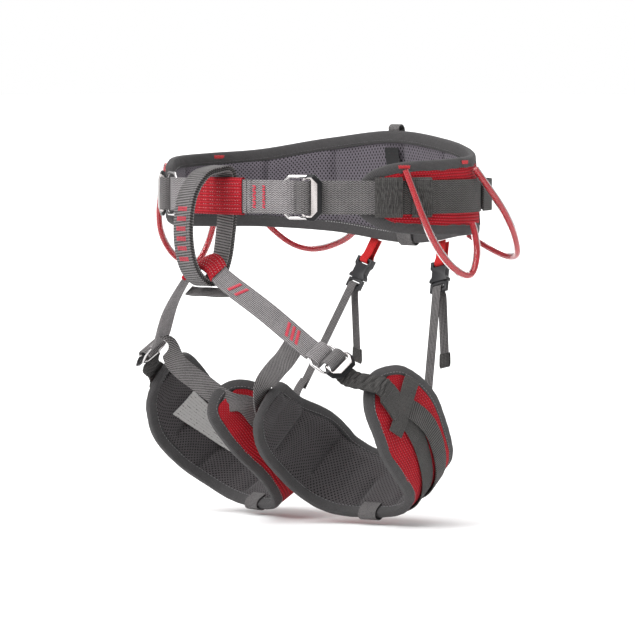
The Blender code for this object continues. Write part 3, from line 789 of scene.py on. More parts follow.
def edge_line(kind, count, side=1.0):
    """The binding's route round a pad: points, inward directions across the pad and outward directions."""
    if kind == "waist":
        left = [(d, z) for d, z in reversed(BELT_TOP)] + [(PAD_FRONT - 1.0, -0.003)] + list(BELT_BOTTOM)
        right = [(360.0 - d, z) for d, z in reversed(left[1:-1])]
        flat = smooth_line([(d, z * 1000.0, 0.0) for d, z in left + right], count, closed=True)

        def surface(p, off):
            return waist(p.x, p.y / 1000.0, off)
        off = OFF_BINDING
    else:
        knee = [(d, k * 1000.0, 0.0) for d, k, h in LEG_RIM]
        hip = [(d, h * 1000.0, 0.0) for d, k, h in reversed(LEG_RIM)]
        tip_in = (LEG_RIM[0][0] - 8.0, 500.0 * (LEG_RIM[0][1] + LEG_RIM[0][2]), 0.0)
        tip_out = (LEG_RIM[-1][0] + 9.0, 500.0 * (LEG_RIM[-1][1] + LEG_RIM[-1][2]), 0.0)
        flat = smooth_line(knee + [tip_out] + hip + [tip_in], count, closed=True)

        def surface(p, off):
            return leg(p.x, p.y / 1000.0, off, side)
        off = -0.5 * LEG_DEEP
    points, frames = [surface(p, off) for p in flat], []
    for index, p in enumerate(flat):
        ahead = (points[(index + 1) % count] - points[index - 1]).normalized()
        out = (surface(p, off + 0.002) - surface(p, off - 0.002)).normalized()
        frames.append((ahead.cross(out).normalized(), out))
    return points, frames


def binding_piece(name, kind, count, width, deep, body, nodes, side=1.0):
    """Cloth tape folded over a pad's rim, slightly puckered, with a groove where it meets the pad."""
    points, frames = edge_line(kind, count, side)
    centre = sum(points, Vector()) / len(points)
    inward = 1.0 if frames[0][0].dot(centre - points[0]) > 0 else -1.0
    waves = [0.00020 * math.sin(i * 1.31) + 0.00022 * math.sin(i * 0.47 + 1.0) for i in range(count)]

    def section(u, angle):
        x, y = math.cos(angle), math.sin(angle)
        wave = waves[round(u * count) % count]
        shift = inward * (width - BINDING_REACH)
        taper = 1.0 - 0.12 * max(0.0, x * inward) - 0.15 * max(0.0, -x * inward)
        return squarish(x, 0.55) * width + shift, squarish(y, 0.42) * (deep * taper + wave)

    obj = sweep(name, points, frames, section, around=20)
    dress(obj, binding_cloth(kind), body, nodes, "grey_fabric", 180.0)
    return points, frames, inward


def seam_line(points, frames, inward, reach, lift):
    """A line beside a binding, on the pad's inner (lift < 0) or outer (lift > 0) face."""
    line = [p + a * inward * reach + b * lift for p, (a, b) in zip(points, frames)]
    outs = [b if lift > 0 else -b for a, b in frames]
    return line + line[:1], outs + outs[:1]


def edge_stitches(name, body, rim, reach, lift, pitch, radius, tone):
    """A stitch row on each face of a pad, beside its binding."""
    rows = []
    for height in (-lift, lift):
        line, outs = seam_line(*rim, reach, height)
        rows += stitch_rows(line, outs, pitch, 0.0030, radius)
    beads(name, rows, tone, body)


def groove_shade_cord(name, body, rim, reach):
    """Thin black cord along the line where the binding meets the lining: painted shade for the groove there."""
    groove, outs = seam_line(*rim, reach, -0.0034)
    cord = cord_piece(name, groove[:-1], rim[1], 0.0006, 6, closed=True)
    dress(cord, thread("black"), body, (), "grey_fabric", 180.0)


def quilting(name, body, seams, edges, spot, outward):
    """Dark stitches along the quilting seams of a lining."""
    rows = []
    for seam, low_end, high_end in seams:
        first, last = edges(seam)
        line = [spot(seam, first + (last - first) * (low_end + (high_end - low_end) * i / 30)) for i in range(31)]
        rows += stitch_rows(line, [outward(seam, p) for p in line], 0.0030, 0.0022, 0.0003)
    beads(name, rows, "black", body)


def cover(name, surface, span, edges, off, along, across, seam_swell, material, body, nodes):
    """Thin outer cloth of a pad, swelling gently between its edges."""
    start, end = span

    def place(u, v):
        degrees = start + (end - start) * u
        first, last = edges(degrees)
        swell = seam_swell * math.sin(math.pi * v) ** 0.8 * step(0.0, 0.05, u) * step(0.0, 0.05, 1 - u)
        wave = 0.00025 * math.sin(degrees * 1.9 + 6 * v) * math.sin(math.pi * v)
        spot = first + (last - first) * v
        return surface(degrees, spot, off + swell + wave)

    obj = grid(name, place, along, across)
    thicken(obj, SHELL, round_edges=False)
    clean(obj, FINE_MERGE)
    return dress(obj, material, body, nodes, "red_fabric" if "red" in material.name else "grey_fabric", 180.0)


# ---------------------------------------------------------------- settings
def tint(name, what, colour):
    return FloatVectorProperty(name=name, description="Colour of " + what, size=3, subtype="COLOR", default=colour,
                               min=0.0, max=1.0)


def distance(name, what, default, low, high):
    return FloatProperty(name=name, description=what, default=default, min=low, max=high, unit="LENGTH")


class HarnessSettings(bpy.types.PropertyGroup):
    light_webbing: tint("Light webbing", "the strap webbing", (0.215, 0.202, 0.205))
    mid_webbing: tint("Mid webbing", "the hip and belay webbing", (0.125, 0.118, 0.118))
    dark_webbing: tint("Dark webbing", "keepers and leg pad webbing", (0.060, 0.057, 0.055))
    binding: tint("Binding", "the edge tape", (0.105, 0.100, 0.102))
    lining: tint("Lining", "the spacer mesh", (0.130, 0.115, 0.135))
    # Leg lining colour: darker than the belt lining, painted shade for the inside of the leg loops.
    leg_lining: tint("Leg lining", "the leg pads' spacer mesh", (0.070, 0.063, 0.066))
    red: tint("Red", "the red cloth", (0.330, 0.0045, 0.012))
    belt_plump: distance("Belt plumpness", "How far the belt's lining swells inwards", 0.0022, 0.0, 0.006)
    leg_plump: distance("Leg plumpness", "How far the leg pads' lining swells inwards", 0.0020, 0.0, 0.006)
    stitch: distance("Stitch pitch", "Distance from one stitch to the next", 0.0040, 0.002, 0.010)
    belay_tacks: IntProperty(name="Belay bar tacks", description="Bar tacks on the front of the belay loop",
                             default=6, min=0, max=12)


class HarnessOperator(bpy.types.Operator):
    """Shared settings of the harness's operators"""
    bl_options = {"REGISTER", "UNDO"}

    def execute(self, context):
        self.build(context.scene.harness)
        return {"FINISHED"}


def belt_inset(inset):
    def edges(degrees):
        return belt_edge(BELT_BOTTOM, degrees) + inset, belt_edge(BELT_TOP, degrees) - inset
    return edges


def leg_inset(inset):
    def edges(degrees):
        knee, hip = between(LEG_RIM, degrees)
        return knee - inset, hip + inset
    return edges


BELT_SEAMS = ((84, 0.1, 0.9), (118, 0.05, 0.95), (152, 0.05, 0.95), (176, 0.05, 0.95), (208, 0.05, 0.95),
              (238, 0.05, 0.95), (262, 0.1, 0.9), (284, 0.1, 0.9))


class HARNESS_OT_belt_lining(HarnessOperator):
    """Quilted spacer-mesh lining and foam of the waist belt"""
    bl_idname = "harness.belt_lining"
    bl_label = "Belt lining"

    def build(self, own):
        obj = pad("belt_lining", waist, (57.0, 303.0), belt_inset(0.0052), 0.0010, PAD_DEEP - 0.0030,
                  BELT_SEAMS, 0.0030, 220, 20, own.belt_plump)
        nodes = ("waist_lining", "waist_pad_core_left", "waist_pad_core_right")
        dress(obj, lining_cloth(), "belt", nodes, "grey_fabric", 180.0)
        quilting("belt_quilting_stitches", "belt", BELT_SEAMS, belt_inset(0.0060), lambda d, z: waist(d, z, 0.0012),
                 lambda d, p: -outwards_at(waist, d, p.z, 0.0))


class HARNESS_OT_belt_cover(HarnessOperator):
    """Red hip pads and grey back of the belt's outside"""
    bl_idname = "harness.belt_cover"
    bl_label = "Belt cover"

    def build(self, own):
        off = PAD_DEEP - SHELL / 2
        edges = belt_inset(0.0050)
        for name, side in SIDES:
            span = (58.0, 126.3) if side > 0 else (233.7, 302.0)
            cover("hip_cover_" + name, waist, span, edges, off - 0.0004, 90, 14, 0.0010, red_cloth(), "belt",
                  ("hip_panel_" + name,))
        cover("back_cover", waist, (126.1, 233.9), edges, off - 0.0002, 130, 14, 0.0010, lining_cloth(),
              "belt", ("back_panel",))
        for name, side in SIDES:
            at = 126.2 if side > 0 else 233.8
            first, last = edges(at)
            line = [waist(at, first + (last - first) * i / 24, PAD_DEEP + 0.0004) for i in range(25)]
            flaps = ribbon("cover_seam_tape_" + name, line, [waist(at + 1, 0, 0) - waist(at - 1, 0, 0)] * 25,
                           0.0090, 0.0008, 24, 2)
            dress(flaps, binding_cloth(), "belt", (), "grey_fabric")


class HARNESS_OT_belt_binding(HarnessOperator):
    """Tape round the belt's rim, its seams and bar tacks"""
    bl_idname = "harness.belt_binding"
    bl_label = "Belt binding"

    def build(self, own):
        rim = binding_piece("belt_binding", "waist", 420, 0.0070, 0.0050, "belt", ("waist_binding",))
        points, frames, inward = rim
        edge_stitches("belt_binding_stitches", "belt", rim, 0.0055, 0.0048, own.stitch, 0.00035, "grey")
        pale = []
        for start in (40, 205, 330):
            line = [p + a * inward * 0.0062 - b * 0.0047
                    for p, (a, b) in zip(points[start:start + 24], frames[start:start + 24])]
            pale += stitch_rows(line, [-b for a, b in frames[start:start + 24]], 0.0032, 0.0020, 0.0003)
        beads("belt_pale_stitches", pale, "pale", "belt")
        # Painted shade line in the groove where the belt binding meets the lining.
        groove_shade_cord("belt_groove_shade", "belt", rim, 0.0080)
        tacks = []
        for degrees, table, outer in ((68, BELT_TOP, 1), (292, BELT_TOP, 1), (72, BELT_TOP, -1), (262, BELT_TOP, -1),
                                      (100, BELT_TOP, 1), (260, BELT_TOP, 1)):
            z = belt_edge(table, degrees)
            off = OFF_BINDING + outer * 0.0052
            spot = waist(degrees, z, off)
            out = outwards_at(waist, degrees, z, off) * outer
            around = round_waist(degrees, z, off)
            tacks += tack_rows(spot, around, UP, out, 0.0120, 0.0046)
        beads("belt_bar_tacks", tacks, "red", "belt")


class HARNESS_OT_waist_webbing(HarnessOperator):
    """Waist webbing, its keepers and the upper tie-in sleeve"""
    bl_idname = "harness.waist_webbing"
    bl_label = "Waist webbing"

    def build(self, own):
        points = [waist(d, 0.0, OFF_WEB) for d in range(-20, 21, 8)]
        ends = {}
        for name, side in SIDES:
            origin, along, wide, out = buckle_place("waist", side)
            ends[name] = [origin + along * x + out * y for x, y in TUCK]
        points = list(reversed(ends["right"])) + points + ends["left"]
        front = ribbon("front_strap", points, [UP] * len(points), WEBBING_HEIGHT, 0.0020, 300, 6)
        dress(front, strap("chevron"), "belt", ("front_webbing",), "grey_webbing")
        for name, side in SIDES:
            for piece, first, last, lift, tone, nodes in (
                    ("front", 35.2, 63.0, 0.0003, "mid", ("hip_webbing_" + name,)),
                    ("rear", 61.0, 127.5, 0.0006, "dark", ())):
                steps = [first + (last - first) * i / 60 for i in range(61)]
                line = [waist(d * side, 0.0, OFF_WEB + lift) for d in steps]
                obj = ribbon(f"hip_strap_{piece}_{name}", line, [UP] * 61, WEBBING_HEIGHT, 0.0022, 150, 6)
                dress(obj, strap("chevron", tone), "belt", nodes, "grey_webbing")

        def bow(degrees):
            near = min(degrees, 360.0 - degrees)
            return 0.0026 + 0.0125 * math.exp(-((near - 132.0) / 10.0) ** 2)

        steps = [118.0 + 124.0 * i / 120 for i in range(121)]
        line = [waist(d, 0.0, OFF_WEB + bow(d)) for d in steps]
        obj = ribbon("rear_strap", line, [UP] * 121, WEBBING_HEIGHT - 0.0010, 0.0022, 260, 6)
        dress(obj, strap("chevron", "dark"), "belt", ("rear_webbing",), "grey_webbing")
        self.sleeve()
        self.keepers()

    def sleeve(self):
        line = smooth_line([waist(d, 0.0, OFF_WEB) for d in (-14, -8, -2.5, 3, 9)], 60)
        frames = [(UP, heading(line, index).cross(UP).normalized()) for index in range(len(line))]
        high, deep = (WEBBING_HEIGHT + 0.0032) / 2, (WEBBING + 0.0030) / 2

        def section(u, angle):
            puckered = deep + 0.0002 * math.sin(u * 40)
            return squarish(math.cos(angle), 0.35) * high, squarish(math.sin(angle), 0.35) * puckered

        obj = sweep("upper_red_sleeve", line, frames, section, closed=False, around=48)
        thicken(obj, 0.0009, 0.0, False)
        dress(obj, red_cloth(), "belt", ("upper_tie_in_sleeve",), "red_fabric")

    def keepers(self):
        pale, pink, dark = [], [], []
        for name, side in SIDES:
            for label, start, end, reach in (("front", 56.3, 66.8, 0.0018), ("middle", 70.5, 79.0, 0.0022)):
                count = 120

                def place(u, v, start=start, end=end, reach=reach, side=side):
                    degrees = (start + (end - start) * u) * side
                    height = WEBBING_HEIGHT + 0.0060
                    z = height * (v - 0.5)
                    fade = math.sin(math.pi * v) ** 0.4 * step(0.0, 0.08, u) * step(0.0, 0.08, 1 - u)
                    pucker = fade * (0.0005 * math.sin(u * 62 + 2.6 * math.sin(v * 6))
                                     + 0.0003 * math.sin(u * 113 - 3.0 * math.sin(v * 9)))
                    tuck = 0.0022 * (1 - step(0.0, 0.06, v) * step(0.0, 0.06, 1 - v))
                    return waist(degrees, z, OFF_WEB + WEBBING / 2 + reach - tuck + pucker)

                obj = grid(f"{label}_keeper_{name}", place, count, 44)
                thicken(obj, 0.0010, 1.0 if side > 0 else -1.0, False)
                clean(obj, FINE_MERGE)
                dress(obj, strap("plain", "dark"), "belt", (), "grey_fabric", 180.0)
            for degrees in (68.2, 69.3):
                line = [waist((degrees + (0.35 if i % 2 else -0.35)) * side, 0.016 * (1 - 2 * i / 16), OFF_WEB + 0.0014)
                        for i in range(17)]
                pale += stitch_rows(line, [outwards_at(waist, degrees * side, 0, 0)] * 16, 0.0023, 0.0021, 0.00028)
            for degrees in (67.3, 70.0, 79.6):
                line = [waist(degrees * side, 0.017 * (1 - 2 * i / 20), OFF_WEB + 0.0026) for i in range(21)]
                dark += stitch_rows(line, [outwards_at(waist, degrees * side, 0, 0)] * 20, 0.0028, 0.0020, 0.0003)
            if side < 0:
                continue
            for degrees, half in ((13.6, 0.0026), (17.2, 0.0021)):
                around = round_waist(degrees)
                out = outwards_at(waist, degrees, 0, 0)
                spot = waist(degrees, 0.0, OFF_WEB + 0.0014)
                for part in range(9):
                    z = 0.0112 - part * 0.0028
                    for shift in (-0.00045, 0.00045):
                        pink.append((spot + UP * (z + shift), around + UP * 0.25 * (1 if part % 2 else -1), out,
                                     half, 0.0006, 0.0007))
            line = [waist(10.6, 0.0175 * (1 - 2 * i / 20), OFF_WEB + 0.0015) for i in range(21)]
            dark += stitch_rows(line, [outwards_at(waist, 10.6, 0, 0)] * 20, 0.0026, 0.0018, 0.0004)
            line = [waist(12.4, 0.0175 * (1 - 2 * i / 20), OFF_WEB + 0.0015) for i in range(21)]
            dark += stitch_rows(line, [outwards_at(waist, 12.4, 0, 0)] * 20, 0.0030, 0.0020, 0.0004)
        for row in range(7):
            z = -0.0135 + row * 0.0045
            line = [waist(-10 + 18.5 * i / 40, z, OFF_WEB + 0.0031) for i in range(41)]
            pale += stitch_rows(line, [outwards_at(waist, -10 + 18.5 * i / 40, z, 0) for i in range(40)],
                                0.0038, 0.0012, 0.00025)
        beads("waist_pale_stitches", pale, "pale", "belt")
        beads("waist_pink_stitches", pink, "pink", "belt")
        beads("waist_dark_stitches", dark, "black", "belt")


class HARNESS_OT_belt_trim(HarnessOperator):
    """Hang loop, size label and lower tab of the belt"""
    bl_idname = "harness.belt_trim"
    bl_label = "Belt trim"

    def build(self, own):
        top = belt_edge(BELT_TOP, 180.0)
        back = waist(180.0, top, OFF_BINDING).y
        hang = [(0, back - 0.0010, top + 0.0020), (0, back - 0.0022, top + 0.0082), (0, back + 0.0022, top + 0.0116),
                (0, back + 0.0066, top + 0.0070), (0, back + 0.0076, top - 0.0070)]
        obj = ribbon("storage_loop", hang, [ACROSS] * 5, 0.016, 0.0013, 60)
        dress(obj, strap("ribs_along", "mid"), "belt", ("hang_loop",), "grey_fabric")

        def label(u, v):
            curl = 0.0006 * math.sin(math.pi * v)
            return waist(176.5 + 7 * u, 0.0285 + 0.0195 * v, -own.belt_plump - 0.0012 - curl)

        obj = grid("size_tag", label, 20, 20)
        thicken(obj, 0.0007, 0.0, False)
        dress(obj, label_material("black_tag", (0.006, 0.006, 0.007), (0.02, 0.02, 0.02), 120.0), "belt",
              ("size_label",), "grey_fabric")
        bottom = belt_edge(BELT_BOTTOM, 180.0)
        back = waist(180.0, bottom, OFF_BINDING).y
        tab = [(0, back - 0.0090, bottom + 0.012), (0, back - 0.0070, bottom - 0.001),
               (0, back, bottom - 0.0072), (0, back + 0.0068, bottom - 0.002), (0, back + 0.0064, bottom + 0.010)]
        obj = ribbon("lower_belt_tab", tab, [ACROSS] * 5, 0.022, 0.0013, 60)
        dress(obj, strap("plain", "mid"), "belt", ("belt_bottom_tab",), "grey_fabric")


def rod_ring(name, outline, thick, deep, matrix, material, body, nodes):
    """Round bar bent into a closed outline in its own plane."""
    line = smooth_line([(x, y, 0.0) for x, y in outline], 96, closed=True)
    world = [matrix @ p for p in line]
    out = (matrix.to_3x3() @ UP).normalized()
    frames = []
    for index in range(96):
        ahead = (world[(index + 1) % 96] - world[index - 1]).normalized()
        frames.append((ahead.cross(out).normalized(), out))
    obj = sweep(name, world, frames, lambda u, a: (thick * math.cos(a), deep * math.sin(a)), around=16)
    return dress(obj, material, body, nodes, "ring_steel", 180.0)


def cornered(x_low, x_high, half, cut):
    """Eight-cornered outline, with two points on each side so that a smooth line keeps its corners."""
    corners = ((x_high, half - cut), (x_high - cut, half), (x_low + cut, half), (x_low, half - cut),
               (x_low, -half + cut), (x_low + cut, -half), (x_high - cut, -half), (x_high, -half + cut))
    points = []
    for here, there in zip(corners, corners[1:] + corners[:1]):
        for share in (0.08, 0.5, 0.92):
            points.append((here[0] + (there[0] - here[0]) * share, here[1] + (there[1] - here[1]) * share))
    return points


def frame_plate(name, rings, matrix, bright, body, nodes):
    """Plate with a window, from its rings of eight corners taken in order round the section; faces after the bright
    rings are steel, the rest near-black metal as painted shade.
    """
    points = [matrix @ Vector(p) for ring in rings for p in ring]
    faces, inner = [], []
    total = len(rings)
    for ring in range(total):
        for corner in range(8):
            after = (corner + 1) % 8
            other = (ring + 1) % total
            faces.append((ring * 8 + corner, ring * 8 + after, other * 8 + after, other * 8 + corner))
            inner.append(ring in bright)
    obj = mesh_piece(name, points, faces)
    mesh = obj.data
    mesh.materials.append(painted_shade_metal_material("black_anodised", (0.010, 0.010, 0.011)))
    mesh.materials.append(metal_material("bright_bevel", (0.62, 0.58, 0.57), 0.24))
    # Faces from the bright rings get steel; every other face gets the near-black metal, painted shade.
    for polygon, shiny in zip(mesh.polygons, inner):
        polygon.material_index = 1 if shiny else 0
    clean(obj, FINE_MERGE)
    apply_modifier(obj, "BEVEL", width=0.00035, segments=2, limit_method="ANGLE", angle_limit=math.radians(20))
    return dress(obj, None, body, nodes, "frame_dark", 30.0)


def octagon(low, high, half, cut, z):
    return [(high, half - cut, z), (high - cut, half, z), (low + cut, half, z), (low, half - cut, z),
            (low, -half + cut, z), (low + cut, -half, z), (high - cut, -half, z), (high, -half + cut, z)]


TUCK = ((-0.0270, 0.0), (-0.0225, 0.0028), (-0.0170, 0.0046), (-0.0110, 0.0044), (-0.0072, 0.0030),
        (-0.0060, 0.0002), (-0.0057, -0.0014))
HUMP = ((-0.0046, -0.0010), (-0.0043, 0.0050), (-0.0022, 0.0100), (0.0026, 0.0122), (0.0074, 0.0106),
        (0.0102, 0.0064), (0.0106, 0.0012))


class HARNESS_OT_buckles(HarnessOperator):
    """Steel rings, frames with painted shade on their outer faces, and folded webbing of the waist and leg buckles"""
    bl_idname = "harness.buckles"
    bl_label = "Buckles"

    def build(self, own):
        steel = metal_material("polished_steel", (0.66, 0.64, 0.64), 0.18)
        for kind, height, parent in (("waist", WEBBING_HEIGHT, "belt"), ("leg", LEG_WEB, "leg_loops")):
            for name, side in SIDES:
                origin, along, wide, out = buckle_place(kind, side)
                matrix = Matrix.Translation(origin + out * 0.0018) @ Matrix(
                    (along, wide, along.cross(wide))).transposed().to_4x4()
                half = height / 2 + 0.0042
                cut = 0.0060 if kind == "waist" else 0.0090
                rod_ring(f"{kind}_steel_ring_{name}", cornered(-0.0205, 0.0128, half, cut), 0.0018, 0.0013, matrix,
                         steel, parent, (f"{kind}_buckle_ring_{name}",))
                sign = 1.0 if along.cross(wide).dot(out) > 0 else -1.0
                matrix = Matrix.Translation(origin + out * 0.0078) @ Matrix(
                    (along, wide * sign, out)).transposed().to_4x4()
                low, high, tall = 0.0008, 0.0242, height / 2 + 0.0068
                hole_low, hole_high, hole = 0.0030, 0.0122, height / 2 + 0.0012
                rings = [octagon(low, high, tall, 0.0078, -0.0018), octagon(low, high, tall, 0.0078, -0.0002),
                         octagon(low + 0.0012, high - 0.0040, tall - 0.0036, 0.0066, 0.0020),
                         octagon(hole_low - 0.0004, hole_high + 0.0010, hole + 0.0010, 0.0016, 0.0018),
                         octagon(hole_low, hole_high, hole, 0.0010, 0.0006),
                         octagon(hole_low, hole_high, hole, 0.0010, -0.0018)]
                frame_plate(f"{kind}_tilt_frame_{name}", rings, matrix, (2, 3), f"{kind}_frame_{name}",
                            (f"{kind}_buckle_frame_{name}",))
                points = [origin + along * x + out * y for x, y in HUMP]
                obj = ribbon(f"{kind}_strap_fold_{name}", points, [wide] * 7, height - 0.0006, 0.0019, 60, 10)
                dress(obj, strap("chevron" if kind == "waist" else "ribs_along", "mid"), parent, (), "grey_webbing")


class HARNESS_OT_belay_loop(HarnessOperator):
    """Belay loop of three webbing layers, with its bar tacks"""
    bl_idname = "harness.belay_loop"
    bl_label = "Belay loop"

    def build(self, own):
        points = [Vector((0.0, y, z)) for y, z in BELAY_PATH]
        centre = smooth_line(points, 220, closed=True)
        outs = []
        for index in range(220):
            ahead = (centre[(index + 1) % 220] - centre[index - 1]).normalized()
            outs.append(ACROSS.cross(ahead).normalized())
        middle = sum(centre, Vector()) / 220
        if outs[0].dot(centre[0] - middle) < 0:
            outs = [-o for o in outs]
        for label, off, width, nodes in (("outer", 0.00245, 0.0250, ("belay_loop",)), ("middle", 0.0, 0.0240, ()),
                                         ("inner", -0.00245, 0.0246, ())):
            line = [c + o * off for c, o in zip(centre, outs)]

            def place(u, v, line=line, width=width):
                return line[round(u * 220) % 220] + ACROSS * width * (v - 0.5)

            obj = grid(f"belay_{label}_layer", place, 220, 6)
            clean(obj)
            thicken(obj, 0.0018)
            tone = "dark" if label == "middle" else "mid"
            dress(obj, strap("ribs_across", tone), "belay_loop", nodes, "grey_fabric")
        tacks = []
        for number in range(own.belay_tacks):
            spot, out = self.front_at(centre, outs, -0.0125 - 0.0106 * number)
            run = out.cross(ACROSS).normalized()
            for shift in (-0.0012, 0.0012):
                tacks += tack_rows(spot + run * shift, ACROSS, run, out, 0.0125, 0.0030, 0.0015)
        beads("belay_bar_tacks", tacks, "pink", "belay_loop")
        rows = []
        for x in (-0.0085, 0.0085):
            line = [c + o * 0.0034 + ACROSS * x for c, o in zip(centre, outs)]
            rows += stitch_rows(line + line[:1], outs + outs[:1], 0.0046, 0.0030, 0.0003)
        beads("belay_edge_stitches", rows, "grey", "belay_loop")

    @staticmethod
    def front_at(centre, outs, height):
        front = [i for i in range(len(centre)) if centre[i].y < -0.18]
        index = min(front, key=lambda i: abs(centre[i].z - height))
        return centre[index] + outs[index] * 0.0036, outs[index]


def tie_in_taper(u):
    return 1.0 - 0.18 * max(0.0, 1.0 - abs(u - 0.5) / 0.12)


# Distance from the strap's middle, lean along the strap and share of the strap's width.
LEG_STRAP_TACKS = ((0.0500, -0.35, 0.60), (0.0590, -0.35, 0.60), (0.1240, 0.45, 0.66), (0.1310, 0.45, 0.66),
                   (0.1380, 0.45, 0.66))


class HARNESS_OT_leg_strap(HarnessOperator):
    """Leg strap through the lower tie-in sleeve, and the bridge strap"""
    bl_idname = "harness.leg_strap"
    bl_label = "Leg strap"

    def build(self, own):
        half = [TIE_IN, TIE_IN + Vector((0.0130, -0.0010, -0.0045)), STRAP_START]
        half.append(STRAP_START.lerp(LEG_BUCKLE, 0.42) + Vector((0.0015, -0.0035, 0.0020)))
        origin, along, wide, out = buckle_place("leg", 1.0)
        half += [origin + along * x + out * y for x, y in TUCK]
        wides = [TIE_IN_WIDE, TIE_IN_WIDE + Vector((0.05, 0, 0))] + [wide] * (len(half) - 2)
        points = [mirrored(p, -1) for p in reversed(half[1:])] + half
        turns = [mirrored(w, -1) for w in reversed(wides[1:])] + wides
        count = 384
        obj = ribbon("leg_strap_webbing", points, turns, LEG_WEB, 0.0020, count, 6, taper=tie_in_taper)
        dress(obj, strap("ribs_along"), "leg_loops", ("leg_strap",), "grey_webbing")
        line, facing = smooth_line(points, count), [t.normalized() for t in smooth_line(turns, count)]
        deep = [facing[index].cross(heading(line, index)).normalized() for index in range(count + 1)]
        self.sleeve(line, facing, deep, count)
        self.tacks(line, facing, deep, count)
        bridge = [(-0.034, -0.1700, -0.1030), (-0.018, -0.1745, -0.1035), (0, -0.1765, -0.1030),
                  (0.018, -0.1745, -0.1035), (0.034, -0.1700, -0.1030)]
        obj = ribbon("bridge_webbing", bridge, [Vector((0, -0.80, -0.60))] * 5, 0.0140, 0.0018, 60)
        dress(obj, strap("ribs_along", "mid"), "leg_loops", ("bridge_strap",), "grey_fabric")

    def sleeve(self, line, facing, deep, count):
        first, last = count // 2 - 32, count // 2 + 32
        part, frames = line[first:last + 1], list(zip(facing[first:last + 1], deep[first:last + 1]))
        high, thick = (LEG_WEB * 0.92 + 0.0030) / 2, 0.0027

        def section(u, angle):
            puckered = thick + 0.0002 * math.sin(u * 30)
            return squarish(math.cos(angle), 0.35) * high, squarish(math.sin(angle), 0.45) * puckered

        obj = sweep("lower_red_sleeve", part, frames, section, closed=False, around=48)
        thicken(obj, 0.0009, 0.0, False)
        dress(obj, red_cloth(), "leg_loops", ("lower_tie_in_sleeve",), "red_fabric")
        rows = []
        for share in (-0.72, -0.36, 0.0, 0.36, 0.72):
            row = [p + f[0] * high * share + f[1] * (-0.0034) for p, f in zip(part, frames)]
            front = [p + f[0] * high * share + f[1] * 0.0034 for p, f in zip(part, frames)]
            rows += stitch_rows(row, [-f[1] for f in frames], 0.0038, 0.0012, 0.00025)
            rows += stitch_rows(front, [f[1] for f in frames], 0.0038, 0.0012, 0.00025)
        beads("lower_sleeve_stitches", rows, "pale", "leg_loops")

    def tacks(self, line, facing, deep, count):
        rows = []
        outs = [d if d.dot(Vector((0, -1, 0.6))) > 0 else -d for d in deep]
        for side in (1, -1):
            reach = [i for i in range(count // 2, count + 1)] if side > 0 else list(range(count // 2, -1, -1))
            travelled = 0.0
            marks = list(LEG_STRAP_TACKS)
            for here, there in zip(reach, reach[1:]):
                travelled += (line[there] - line[here]).length
                while marks and travelled > marks[0][0]:
                    gap, lean, wide = marks.pop(0)
                    run = (line[there] - line[here]).normalized()
                    spot = line[there] + outs[there] * 0.0014
                    slant = facing[there] + run * lean * side
                    rows += tack_rows(spot, slant, run, outs[there], LEG_WEB * wide, 0.0048, 0.0011)
        beads("leg_strap_bar_tacks", rows, "pink", "leg_loops")


LEG_SEAMS = ((-92, 0.10, 0.90), (-52, 0.25, 0.95), (-12, 0.05, 0.55), (20, 0.10, 0.90), (58, 0.05, 0.60),
             (92, 0.20, 0.90))


class HARNESS_OT_leg_pads(HarnessOperator):
    """Quilted lining, red cover and binding of both leg loops"""
    bl_idname = "harness.leg_pads"
    bl_label = "Leg pads"

    def build(self, own):
        first, last = LEG_RIM[0][0], LEG_RIM[-1][0]
        for name, side in SIDES:
            def surface(degrees, along, off, side=side):
                return leg(degrees, along, off, side)

            obj = pad("leg_lining_pad_" + name, surface, (first - 3.0, last + 3.0), leg_inset(0.0042),
                      -LEG_DEEP - 0.0004, -0.0030, LEG_SEAMS, 0.0016, 150, 26, own.leg_plump)
            dress(obj, shaded_leg_lining_cloth(), "leg_loops", ("leg_lining_" + name, "leg_pad_core_" + name),
                            "grey_fabric", 180.0)
            cover("leg_cover_" + name, surface, (first - 2.0, last + 2.0), leg_inset(0.0042), -0.0012, 130, 20,
                  0.0012, red_cloth(), "leg_loops", ("leg_panel_" + name,))
            rim = binding_piece("leg_pad_binding_" + name, "leg", 320, 0.0062, 0.0047, "leg_loops",
                                ("leg_binding_" + name,), side)
            edge_stitches("leg_binding_stitches_" + name, "leg_loops", rim, 0.0052, 0.0045, own.stitch, 0.00033,
                          "pale_grey")
            # Painted shade line in the groove where the leg binding meets the lining.
            groove_shade_cord("leg_groove_shade_" + name, "leg_loops", rim, 0.0076)
            inside = mirrored(LEG_CENTRE, side)
            quilting("leg_quilting_stitches_" + name, "leg_loops", LEG_SEAMS, leg_inset(0.0060),
                     lambda d, along: surface(d, along, -LEG_DEEP - 0.0002), lambda d, p: (inside - p).normalized())


def leg_route(route, count, off, side):
    """Points and width directions of webbing that follows (angle, place) stations over a leg pad."""
    steps = smooth_line([(d, w * 1000.0, 0.0) for d, w in route], count)
    points = [leg(p.x, p.y / 1000.0, off, side) for p in steps]
    wides = []
    for index, place in enumerate(steps):
        angle = math.radians(place.x)
        outward = mirrored(LEG_X * math.sin(angle) - LEG_M * math.cos(angle), side)
        wides.append(heading(points, index).cross(outward).normalized())
    return points, wides


CROSS_ROUTE = ((108, 0.014), (112, -0.002), (117, -0.020), (121, -0.036), (123, -0.047))
WRAP_ROUTE = ((111, -0.022), (103, -0.028), (90, -0.035), (75, -0.037), (60, -0.037), (45, -0.037), (25, -0.037),
              (0, -0.038), (-26, -0.044), (-50, -0.042))
UNDER_ROUTE = ((108, -0.012), (98, -0.014), (86, -0.015), (72, -0.014), (54, -0.013), (34, -0.013), (10, -0.015))


